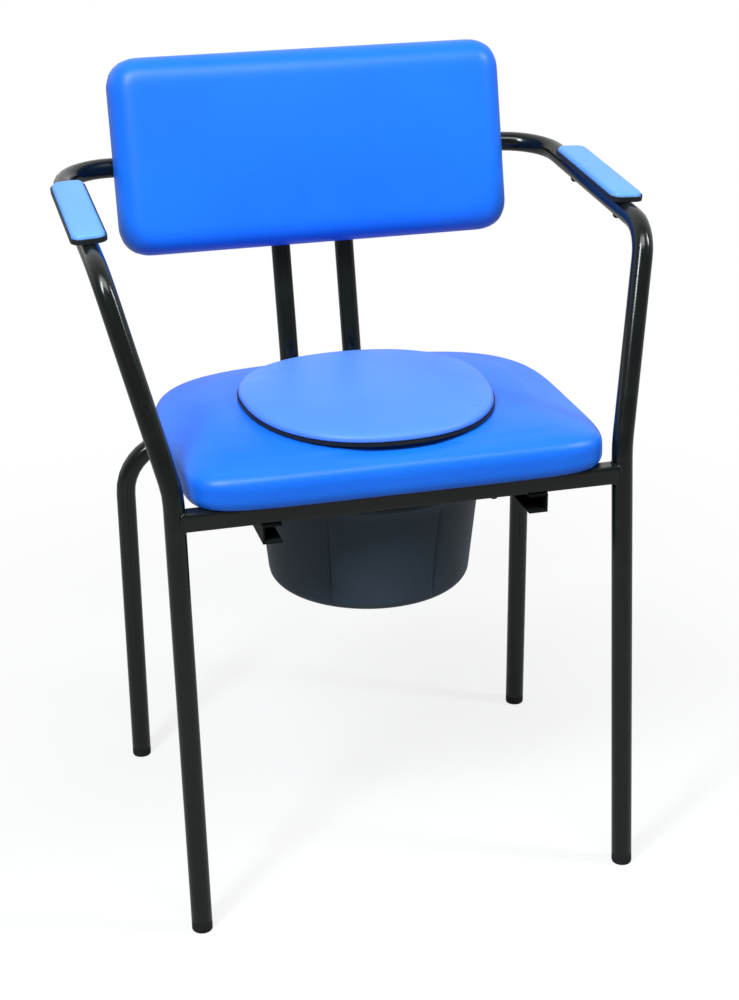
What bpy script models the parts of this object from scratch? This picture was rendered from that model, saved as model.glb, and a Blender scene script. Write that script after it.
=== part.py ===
"""Commode chair: a bent steel tube frame with a padded seat, a lift-off oval cover over the seat's hole,
a padded backrest, padded arms and a pail that slides out forwards on two channels under the seat.

Metres, +Z up. The front faces -Y and +X is the right of someone who looks at the front.
The origin is on the floor, under the middle of the chair's box and on the plane of symmetry. The
dimensions below are measured from a point near it, and the parts' empty moves them.
"""

import math

import bmesh
import bpy
from mathutils import Matrix, Vector

# Clearances
SEAT_GAP = 0.0003           # between pieces that touch
HOLE_GAP = 0.0003           # round a screw's shank

# Tubes
TUBE_R = 0.011
TUBE_SIDES_RESOLUTION = 6   # 16 sides
BORE_R = 0.0092             # inside of a tube's end, for its plug
ARC_STEP = math.radians(10)
STRAIGHT = 0.00002          # an outline's point nearer than this to its neighbours' line is left out
CROWN_RINGS = (0.75, 0.45)  # rings on a boxed pad's face, as shares of the face

# Front hoop: two front legs, two arms and the back bar in one bent tube
FRONT_FOOT_X = 0.2355
FRONT_FOOT_Y = -0.187
KINK_X = 0.2355
KINK_Y = -0.1372
KINK_Z = 0.475
ARM_X = 0.2845
ARM_FRONT_Y = -0.056
ARM_FRONT_Z = 0.682
BACK_BAR_SETBACK = 0.0577   # the back bar behind the uprights' feet
BACK_BAR_Z = 0.706
KINK_BEND_R = 0.070
ARM_FRONT_BEND_R = 0.050
ARM_REAR_BEND_R = 0.058

# Rear hoop: two rear legs and the bar between them
REAR_LEG_X = 0.240
REAR_LEG_ROOM = 0.0145      # the rear legs behind the seat's rear edge
REAR_BEND_R = 0.060

# Seat frame
RAIL_SIDE = 0.020           # square tube of the front and rear rails
RAIL_EDGE_R = 0.003
RAIL_Z = 0.4466             # centre of the front and rear rails
REAR_RAIL_INSET = 0.0375    # the rear rail in front of the seat's rear edge
REAR_RAIL_X = 0.190         # half length of the rear rail

# Uprights that carry the backrest
UPRIGHT_X = 0.0375
UPRIGHT_LEAN = math.radians(14)
UPRIGHT_BEND_R = 0.090
UPRIGHT_TAIL = 0.014        # how far an upright runs below the rear bar's centre

# Foot plugs
FOOT_H = 0.010              # part of the plug that shows under the tube
STEM_L = 0.022
FOOT_EDGE = 0.0015
CAP_H = 0.003               # plug under an upright
CAP_LOW_R = 0.0095

# Pail and its channels
CHANNEL_H = 0.020
CHANNEL_W = 0.020
CHANNEL_WALL = 0.0018
CHANNEL_X = 0.140
CHANNEL_FRONT_Y = -0.152
CHANNEL_PAST_BAR = 0.014    # the channels' rear ends behind the rear bar's centre
STOP_L = 0.014              # block in a channel that the pail's rim comes to rest against
PAIL_FORWARD = 0.0015       # the pail in front of the seat's centre
PAIL_TOP_R = 0.1215
PAIL_BOTTOM_R = 0.1090
PAIL_BOTTOM_Z = 0.3000
PAIL_FILLET_R = 0.012
PAIL_WALL = 0.0025
PAIL_RIM_R = 0.1440
PAIL_RIM_T = 0.0030
PAIL_RIM_LIP = 0.0060
PAIL_EAR = 0.0850           # half length of the two ears that are left of the rim
PAIL_BEAD = 0.0015          # width of the rim between the ears
PAIL_SEGMENTS = 60
PAIL_GROOVES = 6
PAIL_GROOVE_TURN = math.radians(24)   # first groove, from the front towards +X
PAIL_GROOVE_R = 0.0030
PAIL_GROOVE_DEPTH = 0.0011

# Seat
SEAT_W = 0.445
SEAT_D = 0.340
SEAT_OVERHANG = 0.0223      # the seat's front edge in front of the front rail's centre
SEAT_H = 0.043              # cushion with the cover wrapped under the board
SEAT_CORNER = 3.3           # exponent of the outline at the rear: 2 is an ellipse, more is squarer
SEAT_FRONT_CORNER = 8.0     # the same at the front
SEAT_EDGE = 4.6             # exponent of the rounded edge
SEAT_SECTION = 1.25         # height of the whole rounded section, in heights of the cushion cut from it
SEAT_CROWN = 0.002
SEAT_WRAP = 0.012           # cover and foam outside the board's edge
BOARD_T = 0.012
HOLE_A = 0.100              # half width of the seat's hole
HOLE_B = 0.112              # half depth of the seat's hole
HOLE_FORWARD = 0.0035       # the hole in front of the seat's centre

# Lift-off cover
LID_A = 0.1355
LID_B = 0.115               # half depth behind the widest line
LID_FRONT_B = 0.161         # half depth in front of it
LID_BACK = 0.0135           # the cover's widest line behind the seat's centre
LID_CORNER = 2.25
LID_BOARD_T = 0.0030
LID_PAD_H = 0.012
LID_EDGE = 2.3
LID_SECTION = 1.5           # as the seat's
LID_INSET = 0.0015          # the pad's edge inside the board's edge
LID_PLUG_T = 0.010
LID_PLUG_INSET = 0.006

# Backrest
BACK_W = 0.449
BACK_H = 0.217
BACK_T = 0.050
BACK_CENTRE_Z = 0.717
BACK_CORNER_R = 0.032
BACK_EDGE_R = 0.026         # round the face
BACK_HEM_R = 0.006          # round the back
BACK_CROWN = 0.004
BACK_BOARD_T = 0.010
BACK_WRAP = 0.014

# Arm pads
ARM_PAD_L = 0.181
ARM_PAD_W = 0.0345
ARM_PAD_H = 0.0070
ARM_PAD_FORWARD = 0.023     # the pad's centre in front of the arm's middle
ARM_PAD_ROLL = math.radians(3)   # the pads face up and outwards
ARM_PAD_CORNER_R = 0.010
ARM_PAD_EDGE_R = 0.0045
ARM_PAD_HEM_R = 0.001
ARM_PAD_CROWN = 0.0004
ARM_BASE_T = 0.0025
ARM_BASE_INSET = 0.002

# Screws
SHANK_R = 0.0020
HEAD_R = 0.0050
HEAD_TOP_R = 0.0035
HEAD_H = 0.0028
SCREW_BITE = 0.006          # how far a shank runs into the piece it holds
ARM_SCREW_BITE = 0.004
ARM_SCREW_PITCH = 0.130
BACK_SCREW_X = 0.150
BACK_SCREW_MARGIN = 0.050   # screws through the uprights, above the backrest's lower edge
SEAT_SCREW_X = 0.095

RAIL_TOP_Z = RAIL_Z + RAIL_SIDE / 2
RAIL_BOTTOM_Z = RAIL_Z - RAIL_SIDE / 2
CHANNEL_TOP_Z = RAIL_BOTTOM_Z - SEAT_GAP
REAR_BAR_Z = CHANNEL_TOP_Z - CHANNEL_H - SEAT_GAP - TUBE_R
RAIL_Y = FRONT_FOOT_Y + (KINK_Y - FRONT_FOOT_Y) * RAIL_Z / KINK_Z
SEAT_Y = RAIL_Y - SEAT_OVERHANG + SEAT_D / 2
SEAT_REAR_Y = SEAT_Y + SEAT_D / 2
HOLE_Y = SEAT_Y - HOLE_FORWARD
LID_Y = SEAT_Y + LID_BACK
PAIL_Y = SEAT_Y - PAIL_FORWARD
REAR_RAIL_Y = SEAT_REAR_Y - REAR_RAIL_INSET
REAR_LEG_Y = SEAT_REAR_Y + REAR_LEG_ROOM
CHANNEL_REAR_Y = REAR_LEG_Y + CHANNEL_PAST_BAR
UPRIGHT_Y = REAR_LEG_Y + 2 * TUBE_R + SEAT_GAP
BACK_BAR_Y = UPRIGHT_Y + BACK_BAR_SETBACK
ARM_PAD_Y = (ARM_FRONT_Y + BACK_BAR_Y) / 2 - ARM_PAD_FORWARD
UPRIGHT_BEND_Z = BACK_BAR_Z - (BACK_BAR_Y - UPRIGHT_Y) / math.tan(UPRIGHT_LEAN)
SEAT_BOTTOM_Z = RAIL_TOP_Z + SEAT_GAP
SEAT_TOP_Z = SEAT_BOTTOM_Z + SEAT_H
CHANNEL_FLOOR_Z = CHANNEL_TOP_Z - CHANNEL_H + CHANNEL_WALL
ON_TUBE = TUBE_R + SEAT_GAP   # from a tube's centre to what lies on it
SCREW_END_Y = (BACK_BAR_Y + (ON_TUBE + HEAD_H) * math.cos(UPRIGHT_LEAN)
               + HEAD_TOP_R * math.sin(UPRIGHT_LEAN))
BACK_PLANE_Y = BACK_BAR_Y - ON_TUBE * math.cos(UPRIGHT_LEAN)
BACK_PLANE_Z = BACK_BAR_Z + ON_TUBE * math.sin(UPRIGHT_LEAN)
BACK_CENTRE_Y = BACK_PLANE_Y + (BACK_CENTRE_Z - BACK_PLANE_Z) * math.tan(UPRIGHT_LEAN)
BACK_RISE = (BACK_CENTRE_Z - BACK_PLANE_Z) / math.cos(UPRIGHT_LEAN)
BACK_SCREW_DROP = BACK_H / 2 - BACK_RISE - BACK_SCREW_MARGIN
BACK_TOP_Y = BACK_CENTRE_Y + (BACK_H / 2 - BACK_HEM_R) * math.sin(UPRIGHT_LEAN)
REAR_END_Y = max(SCREW_END_Y, BACK_TOP_Y)
FRONT_END_Y = FRONT_FOOT_Y - TUBE_R
MIDDLE_Y = (FRONT_END_Y + REAR_END_Y) / 2

for old in list(bpy.data.objects):
    bpy.data.objects.remove(old, do_unlink=True)

PARTS = bpy.data.collections.new("commode_chair")
CUTTERS = bpy.data.collections.new("cutters")
bpy.context.scene.collection.children.link(PARTS)
bpy.context.scene.collection.children.link(CUTTERS)

ORIGIN = bpy.data.objects.new("chair_origin", None)
ORIGIN.location = (0, -MIDDLE_Y, 0)
PARTS.objects.link(ORIGIN)


# Materials
def material(name, colour, roughness, metallic=0.0):
    made = bpy.data.materials.new(name)
    made.use_nodes = True
    shader = made.node_tree.nodes["Principled BSDF"]
    shader.inputs["Base Color"].default_value = (*colour, 1)
    shader.inputs["Roughness"].default_value = roughness
    shader.inputs["Metallic"].default_value = metallic
    return made


FRAME_PAINT = material("frame_paint", (0.010, 0.013, 0.014), 0.28)
BLUE_VINYL = material("blue_vinyl", (0.015, 0.13, 0.85), 0.42)
ARM_VINYL = material("arm_vinyl", (0.05, 0.24, 0.85), 0.45)
BLACK_PLASTIC = material("black_plastic", (0.016, 0.018, 0.020), 0.5)
PAIL_PLASTIC = material("pail_plastic", (0.030, 0.038, 0.045), 0.45)
PLYWOOD = material("plywood", (0.42, 0.28, 0.15), 0.7)
RUBBER = material("rubber", (0.014, 0.014, 0.014), 0.8)
STEEL = material("zinc_steel", (0.08, 0.08, 0.085), 0.38, 1.0)


# Object helpers
def place(obj, finish):
    PARTS.objects.link(obj)
    obj.parent = ORIGIN
    obj.data.materials.clear()
    obj.data.materials.append(finish)
    return obj


def cutter(obj):
    CUTTERS.objects.link(obj)
    obj.parent = ORIGIN
    obj.hide_render = True
    obj.display_type = "WIRE"
    return obj


def mesh_object(name, bm):
    bmesh.ops.recalc_face_normals(bm, faces=bm.faces)
    data = bpy.data.meshes.new(name)
    bm.to_mesh(data)
    bm.free()
    data.shade_smooth()
    data.set_sharp_from_angle(angle=math.radians(35))
    return bpy.data.objects.new(name, data)


def cut(obj, tool, operation="DIFFERENCE", solver="EXACT"):
    modifier = obj.modifiers.new(operation.lower(), "BOOLEAN")
    modifier.operation = operation
    modifier.solver = solver
    modifier.object = tool


def cylinder(name, start, end, radius, segments=16, end_radius=None):
    """A closed cylinder, or a cone, from one point to another."""
    start, end = Vector(start), Vector(end)
    along = end - start
    turn = along.to_track_quat("Z", "Y").to_matrix().to_4x4()
    bm = bmesh.new()
    bmesh.ops.create_cone(
        bm, cap_ends=True, segments=segments, radius1=radius,
        radius2=radius if end_radius is None else end_radius, depth=along.length,
        matrix=Matrix.Translation((start + end) / 2) @ turn,
    )
    return mesh_object(name, bm)


def box(name, low, high, edge_r=0.0):
    low, high = Vector(low), Vector(high)
    bm = bmesh.new()
    bmesh.ops.create_cube(bm, size=1.0)
    bmesh.ops.scale(bm, vec=high - low, verts=bm.verts)
    bmesh.ops.translate(bm, vec=(low + high) / 2, verts=bm.verts)
    obj = mesh_object(name, bm)
    if edge_r:
        bevel = obj.modifiers.new("edges", "BEVEL")
        bevel.width = edge_r
        bevel.segments = 2
    return obj


def bent_path(corners, radii):
    """Points along straight runs that are joined by arcs at the inner corners."""
    points = [corners[0]]
    for before, corner, after, radius in zip(corners, corners[1:], corners[2:], radii):
        back = (before - corner).normalized()
        ahead = (after - corner).normalized()
        turn = math.pi - back.angle(ahead)
        tangent = radius * math.tan(turn / 2)
        centre = corner + (back + ahead).normalized() * radius / math.cos(turn / 2)
        first = corner + back * tangent - centre
        last = corner + ahead * tangent - centre
        axis = first.cross(last).normalized()
        steps = max(2, math.ceil(turn / ARC_STEP))
        for i in range(steps + 1):
            points.append(centre + Matrix.Rotation(turn * i / steps, 3, axis) @ first)
    points.append(corners[-1])
    return points


def tube(name, points, radius=TUBE_R):
    """A round bar along the points, as a closed mesh."""
    curve = bpy.data.curves.new(name + "_line", "CURVE")
    curve.dimensions = "3D"
    curve.bevel_depth = radius
    curve.bevel_resolution = TUBE_SIDES_RESOLUTION
    curve.use_fill_caps = True
    spline = curve.splines.new("POLY")
    spline.points.add(len(points) - 1)
    for spot, point in zip(spline.points, points):
        spot.co = (*point, 1)
    line = bpy.data.objects.new(name + "_line", curve)
    CUTTERS.objects.link(line)
    graph = bpy.context.evaluated_depsgraph_get()
    data = bpy.data.meshes.new_from_object(line.evaluated_get(graph))
    bpy.data.objects.remove(line)
    bm = bmesh.new()
    bm.from_mesh(data)
    bmesh.ops.remove_doubles(bm, verts=bm.verts, dist=1e-6)
    return mesh_object(name, bm)


def outline_point(u, v, corner, front_corner):
    """Where a point of a square's ray meets a rounded outline of half size 1, as a factor of that ray."""
    power = front_corner if v < 0 else corner
    around = (abs(u) ** power + abs(v) ** power) ** (1 / power)
    return max(abs(u), abs(v)) / around if around else 1.0


def pad(name, half_x, half_y, half_z, corner, edge, crown=0.0, cuts=11, front_y=None, front_corner=None):
    """A cushion: a cut-up cube drawn to a rounded outline, with rounded edges and a crowned top.

    corner and edge are exponents of the outline and of the section: 2 is round, more is squarer.
    front_y and front_corner, where given, are the half depth and the exponent of the half at -Y."""
    bm = bmesh.new()
    bmesh.ops.create_cube(bm, size=2.0)
    bmesh.ops.subdivide_edges(bm, edges=bm.edges, cuts=cuts, use_grid_fill=True)
    for vert in bm.verts:
        u, v, w = vert.co
        rho = max(abs(u), abs(v))
        outline = outline_point(u, v, corner, front_corner or corner)
        draw = max(rho, abs(w)) / (rho ** edge + abs(w) ** edge) ** (1 / edge)
        x = u * outline * draw
        y = v * outline * draw
        z = half_z * w * draw
        if w > 0:
            z += crown * (1 - (x * x + y * y) / 2) * w
        depth = (front_y or half_y) if y < 0 else half_y
        vert.co = (half_x * x, depth * y, z)
    return mesh_object(name, bm)


def flat_bottom(obj, z, sign=-1):
    """Cuts a mesh flat at a level of its own frame, below it, or above it when sign is +1."""
    bm = bmesh.new()
    bm.from_mesh(obj.data)
    everything = bm.verts[:] + bm.edges[:] + bm.faces[:]
    cut_edges = bmesh.ops.bisect_plane(
        bm, geom=everything, plane_co=(0, 0, z), plane_no=(0, 0, -sign),
        clear_inner=True,
    )["geom_cut"]
    bmesh.ops.contextual_create(bm, geom=[e for e in cut_edges if isinstance(e, bmesh.types.BMEdge)])
    bmesh.ops.recalc_face_normals(bm, faces=bm.faces)
    bm.to_mesh(obj.data)
    bm.free()
    obj.data.shade_smooth()
    obj.data.set_sharp_from_angle(angle=math.radians(35))


def power_outline(half_x, half_y, corner, segments, front_y=None, front_corner=None):
    """Points of the outline that a cushion of the same numbers has, without those on a straight run."""
    points = []
    for i in range(segments):
        angle = math.tau * i / segments
        c, s = math.cos(angle), math.sin(angle)
        power = front_corner if front_corner and s < 0 else corner
        reach = (abs(c) ** power + abs(s) ** power) ** (-1 / power)
        depth = (front_y or half_y) if s < 0 else half_y
        points.append(Vector((half_x * c * reach, depth * s * reach, 0)))
    kept = []
    for i, point in enumerate(points):
        chord = points[(i + 1) % segments] - points[i - 1]
        if chord.cross(point - points[i - 1]).length / chord.length > STRAIGHT:
            kept.append(point)
    return kept


def box_outline(half_x, half_y, corner_r, steps=4):
    """Points of a rectangle with rounded corners, anticlockwise."""
    points = []
    for quarter, (sx, sy) in enumerate(((1, 1), (-1, 1), (-1, -1), (1, -1))):
        centre = Vector((sx * (half_x - corner_r), sy * (half_y - corner_r), 0))
        for i in range(steps + 1):
            angle = math.pi / 2 * (quarter + i / steps)
            points.append(centre + corner_r * Vector((math.cos(angle), math.sin(angle), 0)))
    return points


def plate(name, outline, thickness):
    """A flat plate of this outline, centred on its own origin."""
    curve = bpy.data.curves.new(name + "_line", "CURVE")
    curve.dimensions = "2D"
    curve.fill_mode = "BOTH"
    curve.extrude = thickness / 2
    spline = curve.splines.new("POLY")
    spline.points.add(len(outline) - 1)
    spline.use_cyclic_u = True
    for spot, point in zip(spline.points, outline):
        spot.co = (*point, 1)
    line = bpy.data.objects.new(name + "_line", curve)
    CUTTERS.objects.link(line)
    graph = bpy.context.evaluated_depsgraph_get()
    data = bpy.data.meshes.new_from_object(line.evaluated_get(graph))
    bpy.data.objects.remove(line)
    bm = bmesh.new()
    bm.from_mesh(data)
    bmesh.ops.remove_doubles(bm, verts=bm.verts, dist=1e-6)
    return mesh_object(name, bm)


def outline_plate(name, half_x, half_y, thickness, corner, segments=48, front_y=None, front_corner=None):
    """A flat plate whose outline follows the same rule as a cushion's."""
    return plate(name, power_outline(half_x, half_y, corner, segments, front_y, front_corner), thickness)


def boxed_pad(name, half_x, half_y, height, corner_r, edge_r, hem_r, crown, steps=5):
    """A firm pad on its own XY plane: straight sides, an even radius round its face, less at its hem."""
    levels = []
    for i in range(3):
        angle = math.pi / 2 * i / 2
        levels.append((hem_r * (1 - math.sin(angle)), hem_r * (1 - math.cos(angle))))
    for i in range(steps + 1):
        angle = math.pi / 2 * i / steps
        levels.append((edge_r * (1 - math.cos(angle)), height - edge_r * (1 - math.sin(angle))))
    bm = bmesh.new()
    rings = []
    for inset, z in levels:
        radius = max(corner_r - inset, corner_r / 8)
        outline = box_outline(half_x - inset, half_y - inset, radius)
        rings.append([bm.verts.new((p.x, p.y, z)) for p in outline])
    face = [v.co.copy() for v in rings[-1]]
    for share in CROWN_RINGS:
        top = height + crown * (1 - share * share)
        rings.append([bm.verts.new((p.x * share, p.y * share, top)) for p in face])
    for lower, upper in zip(rings, rings[1:]):
        for i in range(len(lower)):
            bm.faces.new((lower[i - 1], lower[i], upper[i], upper[i - 1]))
    bm.faces.new(rings[0])
    bm.faces.new(rings[-1])
    return mesh_object(name, bm)


def screw(name, head, towards, length, holds):
    """A dome-headed screw whose head's underside is at head, and its holes in the pieces it passes."""
    head, towards = Vector(head), Vector(towards).normalized()
    tip = head + towards * length
    shank = cylinder(name, head - towards * HEAD_H / 2, tip, SHANK_R, 10)
    cap = cutter(cylinder(name + "_head", head - towards * HEAD_H, head, HEAD_TOP_R, 14, HEAD_R))
    cut(shank, cap, "UNION")
    reach = towards * HOLE_GAP
    hole = cutter(cylinder(name + "_hole", head - towards * HEAD_H, tip + reach, SHANK_R + HOLE_GAP, 10))
    for piece in holds:
        cut(piece, hole)
    return place(shank, STEEL)


# Frame
def leg_line():
    """Foot and kink of the right front leg."""
    return Vector((FRONT_FOOT_X, FRONT_FOOT_Y, 0)), Vector((KINK_X, KINK_Y, KINK_Z))


def mirrored(point, side):
    return Vector((side * point.x, point.y, point.z))


def foot_plug(name, floor_point, up, tube_obj):
    """A rubber plug in a leg's end, cut flat on the floor, and its bore in the leg."""
    up = up.normalized()
    shoulder = floor_point + up * FOOT_H
    cap = cylinder(name, floor_point - up * TUBE_R, shoulder, TUBE_R, 16)
    bm = bmesh.new()
    bm.from_mesh(cap.data)
    everything = bm.verts[:] + bm.edges[:] + bm.faces[:]
    cut_edges = bmesh.ops.bisect_plane(
        bm, geom=everything, plane_co=(0, 0, 0), plane_no=(0, 0, 1), clear_inner=True
    )["geom_cut"]
    open_edges = [e for e in cut_edges if isinstance(e, bmesh.types.BMEdge)]
    rim = bmesh.ops.contextual_create(bm, geom=open_edges)["faces"][0].edges[:]
    bmesh.ops.bevel(bm, geom=rim, offset=FOOT_EDGE, segments=2, affect="EDGES", profile=0.5)
    bmesh.ops.recalc_face_normals(bm, faces=bm.faces)
    bm.to_mesh(cap.data)
    bm.free()
    stem = cutter(cylinder(name + "_stem", shoulder - up * SEAT_GAP, shoulder + up * STEM_L,
                           BORE_R - SEAT_GAP, 16))
    cut(cap, stem, "UNION")
    bore = cutter(cylinder(name + "_bore", shoulder - up * SEAT_GAP,
                           shoulder + up * (STEM_L + SEAT_GAP), BORE_R, 16))
    cut(tube_obj, bore)
    return place(cap, RUBBER)


def make_front_hoop():
    foot, kink = leg_line()
    up = (kink - foot).normalized()
    start = foot + up * (FOOT_H + SEAT_GAP)
    arm_front = Vector((ARM_X, ARM_FRONT_Y, ARM_FRONT_Z))
    arm_rear = Vector((ARM_X, BACK_BAR_Y, BACK_BAR_Z))
    half = [start, kink, arm_front, arm_rear]
    corners = half + [mirrored(p, -1) for p in reversed(half)]
    radii = [KINK_BEND_R, ARM_FRONT_BEND_R, ARM_REAR_BEND_R]
    hoop = place(tube("front_leg_arm_hoop", bent_path(corners, radii + radii[::-1])), FRAME_PAINT)
    for side, word in ((1, "right"), (-1, "left")):
        foot_plug("front_%s_foot" % word, mirrored(foot, side), mirrored(up, side), hoop)
    return hoop


def make_rear_hoop():
    low = Vector((REAR_LEG_X, REAR_LEG_Y, FOOT_H + SEAT_GAP))
    high = Vector((REAR_LEG_X, REAR_LEG_Y, REAR_BAR_Z))
    corners = [low, high, mirrored(high, -1), mirrored(low, -1)]
    hoop = place(tube("rear_leg_hoop", bent_path(corners, [REAR_BEND_R] * 2)), FRAME_PAINT)
    for side, word in ((1, "right"), (-1, "left")):
        foot = Vector((side * REAR_LEG_X, REAR_LEG_Y, 0))
        foot_plug("rear_%s_foot" % word, foot, Vector((0, 0, 1)), hoop)
    return hoop


def leg_at(z):
    """The right front leg's centre at a height."""
    foot, kink = leg_line()
    return foot.lerp(kink, z / KINK_Z)


def make_front_rail():
    """Square tube between the front legs, with its ends shaped to the round legs."""
    centre = leg_at(RAIL_Z)
    half = RAIL_SIDE / 2
    rail = box("front_rail", (-centre.x, centre.y - half, RAIL_Z - half),
               (centre.x, centre.y + half, RAIL_Z + half), RAIL_EDGE_R)
    foot, kink = leg_line()
    for side in (1, -1):
        cope = cutter(cylinder("rail_cope_%d" % side, mirrored(foot, side), mirrored(kink, side),
                               TUBE_R + SEAT_GAP, 32))
        cut(rail, cope)
    return place(rail, FRAME_PAINT)


def make_rear_rail():
    """Square tube across the channels, under the rear of the seat."""
    half = RAIL_SIDE / 2
    rail = box("rear_rail", (-REAR_RAIL_X, REAR_RAIL_Y - half, RAIL_BOTTOM_Z),
               (REAR_RAIL_X, REAR_RAIL_Y + half, RAIL_TOP_Z), RAIL_EDGE_R)
    return place(rail, FRAME_PAINT)


def make_upright(side, word):
    """Tube from the back of the rear bar up to the underside of the back bar."""
    low = Vector((side * UPRIGHT_X, UPRIGHT_Y, REAR_BAR_Z - UPRIGHT_TAIL))
    bend = Vector((side * UPRIGHT_X, UPRIGHT_Y, UPRIGHT_BEND_Z))
    rise = BACK_BAR_Z - UPRIGHT_BEND_Z
    top = bend + Vector((0, math.tan(UPRIGHT_LEAN) * rise, rise))
    path = bent_path([low, bend, top], [UPRIGHT_BEND_R])
    upright = place(tube("back_upright_" + word, path), FRAME_PAINT)
    left_x, right_x = side * UPRIGHT_X - 2 * TUBE_R, side * UPRIGHT_X + 2 * TUBE_R
    bar = cutter(cylinder("bar_cope_" + word, (left_x, BACK_BAR_Y, BACK_BAR_Z),
                          (right_x, BACK_BAR_Y, BACK_BAR_Z), ON_TUBE, 32))
    cut(upright, bar)
    above = cutter(box("above_bar_" + word, (left_x, BACK_BAR_Y - 3 * TUBE_R, BACK_BAR_Z),
                       (right_x, BACK_BAR_Y + 3 * TUBE_R, BACK_BAR_Z + 3 * TUBE_R)))
    cut(upright, above)
    shoulder = low - Vector((0, 0, SEAT_GAP))
    cap = cylinder("upright_cap_" + word, shoulder - Vector((0, 0, CAP_H)), shoulder, CAP_LOW_R, 16, TUBE_R)
    stem = cutter(cylinder("cap_stem_" + word, shoulder - Vector((0, 0, CAP_H / 2)),
                           shoulder + Vector((0, 0, STEM_L / 2)), BORE_R - SEAT_GAP, 16))
    cut(cap, stem, "UNION")
    bore = cutter(cylinder("cap_bore_" + word, shoulder - Vector((0, 0, SEAT_GAP)),
                           shoulder + Vector((0, 0, STEM_L / 2 + SEAT_GAP)), BORE_R, 16))
    cut(upright, bore)
    place(cap, BLACK_PLASTIC)
    return upright


# Pail and channels
def make_channel(side, word):
    """C-section from under the front rail to the rear bar's top, open towards the middle, and its stop."""
    outer = side * (CHANNEL_X + CHANNEL_W / 2)
    inner = side * (CHANNEL_X - CHANNEL_W / 2)
    low_x, high_x = sorted((outer, inner))
    channel = box("pail_channel_" + word, (low_x, CHANNEL_FRONT_Y, CHANNEL_TOP_Z - CHANNEL_H),
                  (high_x, CHANNEL_REAR_Y, CHANNEL_TOP_Z))
    web = outer - side * CHANNEL_WALL
    past = inner - side * CHANNEL_W
    low_x, high_x = sorted((web, past))
    slot = cutter(box("channel_slot_" + word, (low_x, CHANNEL_FRONT_Y - CHANNEL_W, CHANNEL_FLOOR_Z),
                      (high_x, CHANNEL_REAR_Y + CHANNEL_W, CHANNEL_TOP_Z - CHANNEL_WALL)))
    cut(channel, slot)
    place(channel, FRAME_PAINT)
    reach = math.sqrt(PAIL_RIM_R ** 2 - (CHANNEL_X - CHANNEL_W / 2) ** 2)
    front = PAIL_Y + reach + SEAT_GAP
    low_x, high_x = sorted((web - side * SEAT_GAP, inner))
    stop = box("channel_stop_" + word, (low_x, front, CHANNEL_FLOOR_Z + SEAT_GAP),
               (high_x, front + STOP_L, CHANNEL_TOP_Z - CHANNEL_WALL - SEAT_GAP), CHANNEL_WALL / 2)
    place(stop, BLACK_PLASTIC)


def turned(name, profile, segments):
    """A profile of (radius, height) points, top to bottom on its outer side, turned about Z."""
    bm = bmesh.new()
    verts = [bm.verts.new((r, 0, z)) for r, z in profile]
    for a, b in zip(verts, verts[1:]):
        bm.edges.new((a, b))
    data = bpy.data.meshes.new(name)
    bm.to_mesh(data)
    bm.free()
    obj = bpy.data.objects.new(name, data)
    spin = obj.modifiers.new("turn", "SCREW")
    spin.axis = "Z"
    spin.steps = spin.render_steps = segments
    spin.use_merge_vertices = True
    spin.merge_threshold = 0.0001
    spin.use_smooth_shade = True
    return obj


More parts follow.
